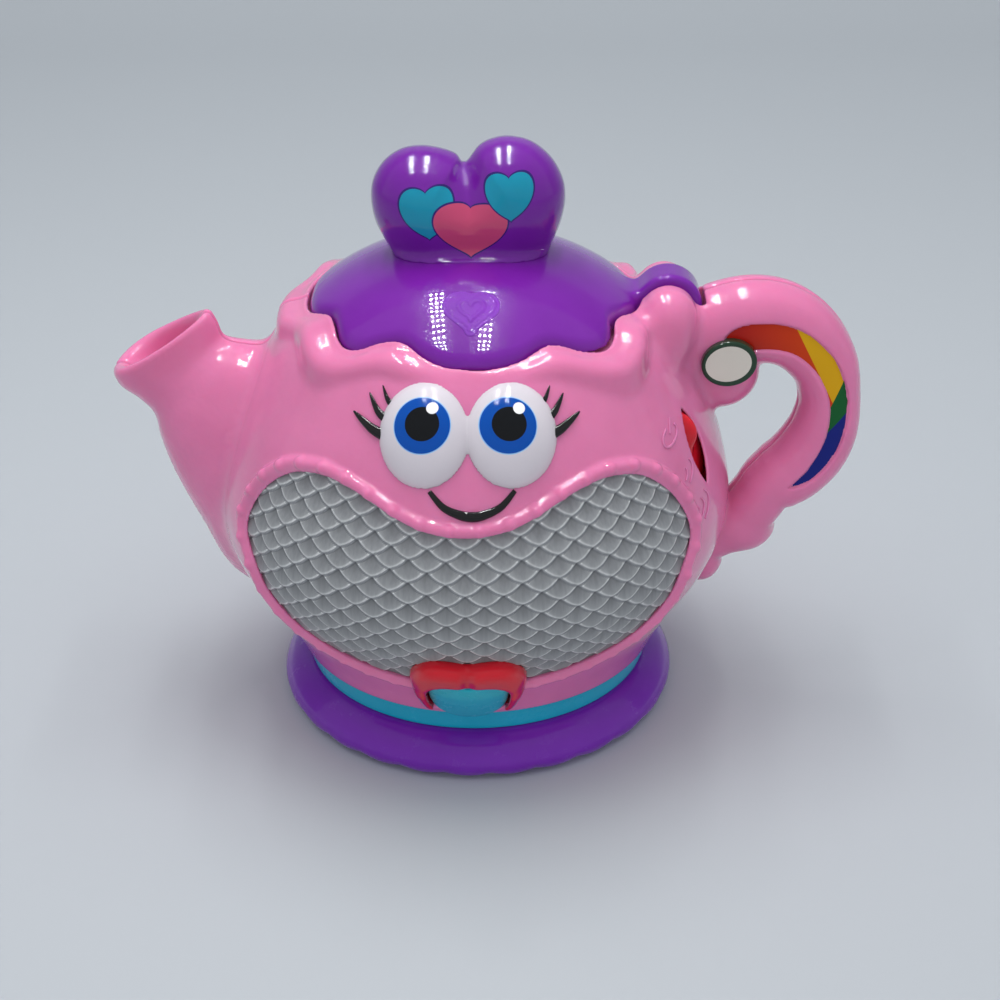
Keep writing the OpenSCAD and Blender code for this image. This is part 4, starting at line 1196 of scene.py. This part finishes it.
# %% [markdown]
# ## Lashes and mouth line
# These are thin raised strokes. A tube that follows the skin, wide in the middle and fine at the
# ends, gives each one a true edge that catches the light.

# %% Strokes on the skin
def stroke(points, radii, ways, flat=0.55, sides=14):
    """Points and faces of a tube along points, flattened along the way out of the skin."""
    points, radii, ways = np.asarray(points), np.asarray(radii), np.asarray(ways)
    along = np.gradient(points, axis=0)
    along /= np.linalg.norm(along, axis=1)[:, None]
    across = np.cross(along, ways)
    across /= np.linalg.norm(across, axis=1)[:, None]
    out = np.cross(across, along)
    turn = np.arange(sides) * 2 * math.pi / sides
    rings = (points[:, None] + across[:, None] * (np.cos(turn)[None, :, None] * radii[:, None, None])
             + out[:, None] * (np.sin(turn)[None, :, None] * radii[:, None, None] * flat))
    count = len(points)
    index = np.arange(count * sides).reshape(count, sides)
    after = np.roll(index, -1, axis=1)
    faces = np.stack([index[:-1], after[:-1], after[1:], index[1:]], -1).reshape(-1, 4).tolist()
    faces += [index[0][::-1].tolist(), index[-1].tolist()]
    return rings.reshape(-1, 3), faces


def strokes(name, rows):
    """One object from several strokes on the skin; a row is points seen from the front, radii and lift."""
    all_points, all_faces, start = [], [], 0
    for line, radii, lift in rows:
        fine_line = line_through(line, 10)
        fine_radii = np.interp(np.linspace(0, 1, len(fine_line)), np.linspace(0, 1, len(radii)), radii)
        places, ways = on_skin(fine_line[:, 0], fine_line[:, 1], lift)
        points, faces = stroke(places, fine_radii, ways)
        all_points.append(points)
        all_faces += [[v + start for v in face] for face in faces]
        start += len(points)
    piece = mesh_from(name, np.vstack(all_points), all_faces)
    fix = bmesh.new()
    fix.from_mesh(piece.data)
    bmesh.ops.recalc_face_normals(fix, faces=fix.faces)
    fix.to_mesh(piece.data)
    fix.free()
    return piece


lash_rows = []
for turn in (-1, 1):
    for start, middle, end, radii in (
            ((12.4, 126.6), (16.6, 127.8), (22.6, 131.0), (1.9, 1.7, 1.5, 1.0, 0.25)),
            ((11.6, 130.8), (14.4, 132.4), (17.2, 136.4), (1.5, 1.35, 1.1, 0.7, 0.2)),
            ((9.8, 134.4), (11.4, 136.0), (12.8, 138.8), (1.0, 0.9, 0.7, 0.45, 0.15))):
        line = [(face_x + 0.6 + turn * (13.2 + p[0] * 0.92), p[1]) for p in (start, middle, end)]
        lash_rows.append((line, radii, 0.7))
lashes = strokes("lash_mouldings", lash_rows)
dress(lashes, finish_black, "pot", ["lash_set"])
smile_half = ((0, 104.9), (3.6, 105.4), (8.6, 107.4), (12.8, 111.6))
smile_rows = [(-x, z) for x, z in smile_half[:0:-1]] + list(smile_half)
smile_line = [(face_x + 2.4 + x, z + 1.6) for x, z in smile_rows]
smile = strokes("smile_line", [(smile_line, (0.7, 1.1, 1.45, 1.6, 1.45, 1.1, 0.7), 0.25)])
dress(smile, finish_black, "pot", ["smile_inlay"])

# %% [markdown]
# ## Raised signs
# Beside the slider the shell has a power sign and waves for the volume. They are strokes as well,
# lower than the lashes and in the shell's own pink.

# %% Raised signs beside the slider
sign_rows = []


def arc(middle, radius, start, end, steps=9):
    turn = np.radians(np.linspace(start, end, steps))
    return np.column_stack([middle[0] + radius * 0.9 * np.cos(turn), middle[1] + radius * np.sin(turn)])


power = (62.6, 115.4)
sign_rows.append((arc(power, 2.7, 125, 415), (0.5,), 0.15))
sign_rows.append(([(power[0], power[1] + rise) for rise in (0.4, 2.4, 4.2)], (0.5,), 0.15))
for middle, reaches in (((66.4, 102.4), (2.4, 4.6)), ((71, 89.2), (2.2, 4.2, 6.2))):
    for reach in reaches:
        sign_rows.append((arc(middle, reach, -42, 50), (0.3, 0.55, 0.6, 0.55, 0.3), 0.15))
signs = strokes("raised_signs", sign_rows)
dress(signs, finish_pink, "pot")

# %% [markdown]
# ## Heart bezel and button
# The bezel is a puffed red heart with the button's heart cut out of it. The button is flatter,
# and has its own rounded face, so a thin shadow runs between the two.

# %% Bezel and button
bezel = Block((-24, -90, 17), (22, -48, 60), 0.4)


def bezel_shape(x, y, z):
    """A puffed ring that leans with the skin behind it, and ends in two tapering arms."""
    outer = front_distance(x, z, bezel_line)
    inner = front_distance(x, z, button_line) - 0.3
    notch = 1.5 * np.exp(-(((x - face_x) / 2.0) ** 2))
    front = belly_shape(x, y, z, 4.6 + 1.9 * np.clip((z - 28) / 8, 0, 1)) + notch
    fat = np.clip((z - 27) / 13, 0, 1)
    ring = soft_max(soft_max(outer, front, 1.6 + 5.4 * fat), -inner, 0.5 + 1.7 * fat)
    return np.maximum(soft_max(ring, 28.2 - z, 1.2), y + 56)


bezel.add(bezel_shape)
bezel.carve(lambda x, y, z: np.maximum(belly_shape(x, y, z, 0.2) + 1.5 * np.clip((z - 42) / 3, 0, 1),
                                       1.9 - front_distance(x, z, button_line)), 0)
bezel.carve(lambda x, y, z: np.maximum(np.hypot(x, y) - 61.2, z - 23), 0)
bezel.carve(lambda x, y, z: z - 23.3 + 0 * x * y, 0.6)
heart_bezel = bezel.object("heart_bezel_moulding")
dress(heart_bezel, finish_red, "pot", ["heart_bezel"])
button = Block((-20, -90, 20), (18, -50, 56), 0.35)


def button_shape(x, y, z):
    crown = belly_shape(x, y, z, 4.4) + 0.009 * ((x - face_x) ** 2 + (z - 38) ** 2)
    return np.maximum(soft_max(front_distance(x, z, button_line), crown, 1.3), y - button_back)


button_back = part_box("button_spring")[0].y / MM - 3.4
stem_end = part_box("heart_button")[1].y / MM
button.add(button_shape)
button.add(lambda x, y, z: shared(np.hypot(x - face_x, z - 37.5) - 1.3, button_back - 2 - y,
                                  y - stem_end), 0.5)
heart_button = button.object("heart_button_moulding")
dress(heart_button, finish_button, "button", ["heart_button"])

# %% [markdown]
# ## Base
# The foot is a purple saucer that swells out under the band, with a scalloped lower rim and a hole
# below for the battery door. One half section gives the distance at each reach from the axis, the
# reach is shifted where a notch lies between two scallops, and the screw posts join as round bars.
# The band is a ring with soft corners, simple enough to be turned as a grid of points.

# %% Foot
scallops = 28
foot_rim = [
    (55.7, 15), (58.6, 15), (60.6, 14.95), (62.2, 14.4), (64.2, 13.2), (66.6, 11.4), (68.7, 9), (69.8, 6.4),
    (69.7, 3.8), (68.2, 1.5), (65.6, 0.2), (63.7, 0), (61, 0.4), (58.8, 2.2), (57, 2.4)]
foot_outline = np.vstack([line_through(foot_rim, 5), [(-9, 2.4), (-9, 4.8), (51, 4.8), (55.7, 12)]])
foot = Block((-72, -72, -1.2), (72, 72, 16.8), 0.55)
foot_x, foot_y, _ = foot.at(foot.cut())
foot_reach = np.sqrt(foot_x**2 + foot_y**2)[:, :, 0]
wave = np.abs(np.sin((np.arctan2(foot_x, -foot_y)[:, :, 0] - math.radians(4.5)) * scallops / 2)) ** 0.8
steps = np.arange(-2, 106, 0.1)
section = flat_distance(steps[:, None], foot.axes[2][None], foot_outline)
for layer, height in enumerate(foot.axes[2]):
    low = np.clip((5.5 - height) / 5, 0, 1) ** 1.5
    notch = 1.8 * (1 - wave) * low * np.clip((foot_reach - 60) / 6, 0, 1)
    foot.d[:, :, layer] = np.interp(foot_reach + notch, steps, section[:, layer])


screw_reach = 50.6


def foot_screws(radius, low, top):
    """Round posts or wells where the base screws go up into the shell."""
    def shape(x, y, z):
        best = far_out
        for turn in (45, 135, 225, 315):
            a = math.radians(turn)
            away = np.hypot(x - screw_reach * math.cos(a), y - screw_reach * math.sin(a))
            best = np.minimum(best, away - radius)
        return shared(best, z - top, low - z)
    return shape


foot.add(foot_screws(5.4, 2.4, 12), 0.8)
foot.carve(foot_screws(3.4, -9, 7.5), 0.3)
foot.carve(lambda x, y, z: shared(np.abs(x) - 25, np.abs(y) - 32.2, z - 20), 0.3)
foot_ring = foot.object("foot_ring")
dress(foot_ring, finish_foot, "pot", ["base_foot"])

# %% Band
def turned(name, outline, steps):
    """Turns a closed outline of radius and height round the axis."""
    turn = np.arange(steps) * 2 * math.pi / steps
    radius, height = outline[:, 0], outline[:, 1]
    points = np.stack([radius * np.sin(turn)[:, None], -radius * np.cos(turn)[:, None],
                       np.broadcast_to(height, (steps, len(outline)))], -1)
    number = np.arange(steps * len(outline)).reshape(steps, len(outline))
    after, below = np.roll(number, -1, 0), np.roll(number, -1, 1)
    quads = np.stack([number, after, np.roll(after, -1, 1), below], -1).reshape(-1, 4)
    return mesh_from(name, points.reshape(-1, 3), quads.astype(np.int32))


band_outline = line_through([
    (55.7, 15.0), (58.6, 15.0), (60.1, 15.1), (60.55, 15.9), (60.6, 18.6), (60.55, 21.6), (60.2, 22.8),
    (59.2, 23.05), (56, 23.05), (55.7, 22.6)], 6, closed=True)
band = turned("teal_band", band_outline[::-1], 240)
dress(band, finish_teal, "pot", ["base_band"])

# %% [markdown]
# ## Badge
# The badge is a sunk plate in a raised green rim, seated on a pad of the handle. The plate is bare.
# The rim's colour is a printed ring, so it follows the oval with no seam.

# %% Badge
badge_middle = (83.6, 127.3)
badge_turn = math.radians(10)


def badge_frame(x, z):
    dx, dz = x - badge_middle[0], z - badge_middle[1]
    c, s = math.cos(badge_turn), math.sin(badge_turn)
    return dx * c + dz * s, dz * c - dx * s


badge = Block((70, -24, 115), (98, 2, 141), 0.3)


def badge_shape(x, y, z):
    s, t = badge_frame(x, z)
    rim = oval_distance(s, t, 9.1, 7.9)
    body = soft_max(rim, -15.9 - y, 0.9)
    plate = np.maximum(oval_distance(s + 0.25, t - 0.25, 7.6, 6.3), y + 14.0)
    return np.maximum(soft_max(body, -soft_max(plate, -15.3 - y, 0.1), 0.4), y + 6)


badge.add(badge_shape)
oval_badge = badge.object("oval_badge_plate")


def print_badge(tree, tone):
    across, up, _ = local_plane(tree, badge_middle, 10)
    u, v = (across + 0.25).do("DIVIDE", 7.5), (up - 0.25).do("DIVIDE", 6.2)
    return mixed(tree, u * u + v * v > 1.0, tone, linear("#1E3A28"))


finish_badge = plastic("badge_plate", "#D2CFC4", rough=0.3, clouds=0.03, paint=print_badge)
dress(oval_badge, finish_badge, "pot", ["oval_badge"])

# %% [markdown]
# ## Rainbow
# A printed strip lies in a shallow recess along the handle. The piece is the handle's own shape, a
# little lower than its skin, kept only inside the strip's outline, so it bends as the handle does.

# %% Rainbow
rainbow = Block((80, -16, 76), (130, 0, 144), 0.3)


def rainbow_shape(x, y, z):
    skin = handle_shape(x, y, z)
    return np.maximum(soft_max(front_distance(x, z, rainbow_outline) - 0.15, skin + 1.15, 0.3), -skin - 2.6)


rainbow.add(rainbow_shape)
rainbow.keep(lambda x, y, z: y + 2 + 0 * x * z, 0)
rainbow_inlay = rainbow.object("rainbow_moulding")


def print_rainbow(tree, tone):
    across, up, _ = local_plane(tree, (0, 0), 0)
    tone = mixed(tree, between(across.do("MULTIPLY_ADD", 0.02, -1.45), 0, 1), tone, linear("#C83C0C"))
    for (x0, z0), (x1, z1), shade in (((104.6, 139.4), (112, 125), "#D8A40C"),
                                      ((123, 121), (118.2, 108.4), "#0E5A2A"),
                                      ((125.6, 109), (117.8, 99.4), "#101E78")):
        # A cell lies past the line when the cross product of line and cell has one sign.
        cross = (up - z0) * (x1 - x0) - (across - x0) * (z1 - z0)
        tone = mixed(tree, cross > 0.0, tone, linear(shade))
    return tone


finish_rainbow = plastic("rainbow_print", "#B01A10", rough=0.32, clouds=0.04, coat=0.25,
                         paint=print_rainbow)
dress(rainbow_inlay, finish_rainbow, "pot", ["rainbow_inlay"])

# %% [markdown]
# ## Slider
# The red slider is a curved plate behind the slot, with a ridge for the finger. The plate is longer
# than the slot by its travel, so it covers the slot at both ends, and it curves away from the wall
# so that it clears the shell wherever it stands.

# %% Slider
slider = Block((52, -62, 78), (94, -10, 136), 0.45)


def slider_shape(x, y, z):
    across, depth, up = slider_frame(x, y, z)
    top = 1.5 + across**2 / 170 + (np.abs(up - 6.25) + 6.25) ** 2 / 200
    plate = shared(np.abs(across) - 8.8, top - depth, depth - 7.1, np.abs(up - 6.25) - 19.25)
    ridge = np.sqrt(across**2 / 2.3**2 + (up - 6) ** 2 / 6.2**2 + (depth - 3.6) ** 2 / 5.4**2) - 1
    swell = np.sqrt((across / 3.7) ** 2 + ((up - 5) / 8) ** 2 + ((depth - 6) / 4.6) ** 2) - 1
    return soft_min(soft_min(plate, ridge * 2.2, 1.4), swell * 3.2, 1.4)


slider.add(slider_shape)
slider_cap = slider.object("volume_slider")
dress(slider_cap, finish_red, "slider", ["slider_cap"])

# %% [markdown]
# ## Floor
# The toy stands on a pale sheet that bends up far behind it, as in a photographer's tent. A bent
# sheet has no corner, so the table runs into the background without a line.

# %% Floor
def stage_piece(name, points, faces):
    """A piece that only serves the picture, with its material's shader."""
    mesh = bpy.data.meshes.new(name)
    mesh.from_pydata(points, [], faces)
    mesh.polygons.foreach_set("use_smooth", [True] * len(faces))
    piece = add_object(name, mesh)
    finish = bpy.data.materials.new(name)
    finish.use_nodes = True
    mesh.materials.append(finish)
    piece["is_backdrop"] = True
    return piece, finish.node_tree.nodes["Principled BSDF"]


bend = [(0.9 + 0.5 * math.sin(a), 0.5 - 0.5 * math.cos(a)) for a in np.linspace(0.1, 1.45, 14)]
sweep = [(-9.0, 0.0), (0.9, 0.0), *bend, (1.42, 3.0)]
floor_points = [(x, y, z) for y, z in sweep for x in (-9, 9)]
floor_faces = [(2 * k, 2 * k + 1, 2 * k + 3, 2 * k + 2) for k in range(len(sweep) - 1)]
floor, floor_shader = stage_piece("floor", floor_points, floor_faces)
floor_shader.inputs["Base Color"].default_value = (*linear("#B6BBC0"), 1)
floor_shader.inputs["Roughness"].default_value = 0.6
print("floor strips:", len(floor_faces))

# %% [markdown]
# ## Lamps
# One broad lamp overhead and weak ones in front and along two strips give the soft, nearly
# shadowless light of the photograph. None shows in the gloss, or each would lie there as a grey
# patch. What the gloss does mirror in the photograph is two strips of small lights, so rows of
# bright squares stand for them: they show only in mirror reflections.

# %% Lamps
def lamp(name, place, aim, size, power):
    light = bpy.data.lights.new(name, "AREA")
    light.shape = "RECTANGLE"
    light.size, light.size_y = size
    light.energy = power
    made = add_object(name, light)
    made.location = place
    made.rotation_euler = (Vector(aim) - Vector(place)).to_track_quat("-Z", "Y").to_euler()
    made.visible_glossy = False


lamp("overhead", (0, 0.15, 1.5), (0, 0, 0.1), (2.6, 2.4), 17)
lamp("front_fill", (0.1, -1.7, 0.6), (0, 0, 0.05), (1.6, 0.7), 4.5)
strip_height = 0.72
for name, x in (("strip_left", -0.135), ("strip_right", 0.048)):
    lamp(name, (x + pot_x * MM, 0.08, strip_height), (x + pot_x * MM, 0.08, 0), (0.03, 0.46), 1.0)
dot_half = (0.0046, 0.0062)
dots, dot_faces = [], []
for x in (-0.155, -0.135, -0.115, 0.028, 0.048, 0.068):
    for y in np.linspace(-0.15, 0.31, 14):
        start = len(dots)
        dots += [(x + pot_x * MM + a * dot_half[0], y + b * dot_half[1], strip_height - 0.004)
                 for a, b in ((-1, -1), (-1, 1), (1, 1), (1, -1))]
        dot_faces.append((start, start + 1, start + 2, start + 3))
light_dots, glow_shader = stage_piece("light_dots", dots, dot_faces)
glow_shader.inputs["Emission Color"].default_value = (1, 1, 1, 1)
glow_shader.inputs["Emission Strength"].default_value = 150
light_dots.visible_camera = False
light_dots.visible_diffuse = False
light_dots.visible_transmission = False
world = bpy.data.worlds.new("room")
world.use_nodes = True
background = world.node_tree.nodes["Background"]
background.inputs["Color"].default_value = (0.84, 0.88, 0.92, 1)
background.inputs["Strength"].default_value = 0.6
bpy.context.scene.world = world
print("room lit")

# %% [markdown]
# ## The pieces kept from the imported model
# Boards, cells, screws and the inner tray have the right shape already. Each gets a finish that
# suits what it is: metal, circuit board, paper sleeve or plain plastic.

# %% Inner finishes
inner = {
    "tray_white": plastic("tray_white", "#DADADF", rough=0.4),
    "board_green": plastic("board_green", "#1A6A3E", rough=0.45, clouds=0.2),
    "steel": plastic("bright_steel", "#B4B6BA", rough=0.25, clouds=0.05),
    "well_purple": plastic("well_purple", "#9A5CC0", rough=0.3, glow=0.1),
    "switch_black": plastic("switch_black", "#26282C", rough=0.4, clouds=0.15),
    "speaker_black": plastic("speaker_black", "#303034", rough=0.5, clouds=0.15),
    "box_black": plastic("box_black", "#1C1C20", rough=0.45, clouds=0.15),
    "cell_gold": plastic("cell_sleeve", "#B88A30", rough=0.3, clouds=0.12),
    "door_purple": plastic("door_purple", "#5A1E94", rough=0.3),
    "emblem_frost": plastic("emblem_frost", "#9A6CC8", rough=0.42, glow=0.15),
    "foot_purple": finish_foot,
}
inner["steel"].node_tree.nodes["Principled BSDF"].inputs["Metallic"].default_value = 1.0
for row in frame["record"]["subparts"]:
    piece = frame["nodes"][row["node"]]
    if row["material_slot"] in inner:
        piece.data.materials.clear()
        piece.data.materials.append(inner[row["material_slot"]])
print("inner pieces dressed")

# %% [markdown]
# ## Sizes
# The last cell measures the box round all the pieces that show, and prints it.

# %% Sizes and finish
low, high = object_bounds()
print("scene box", [round(v, 4) for v in (*low, *high)])
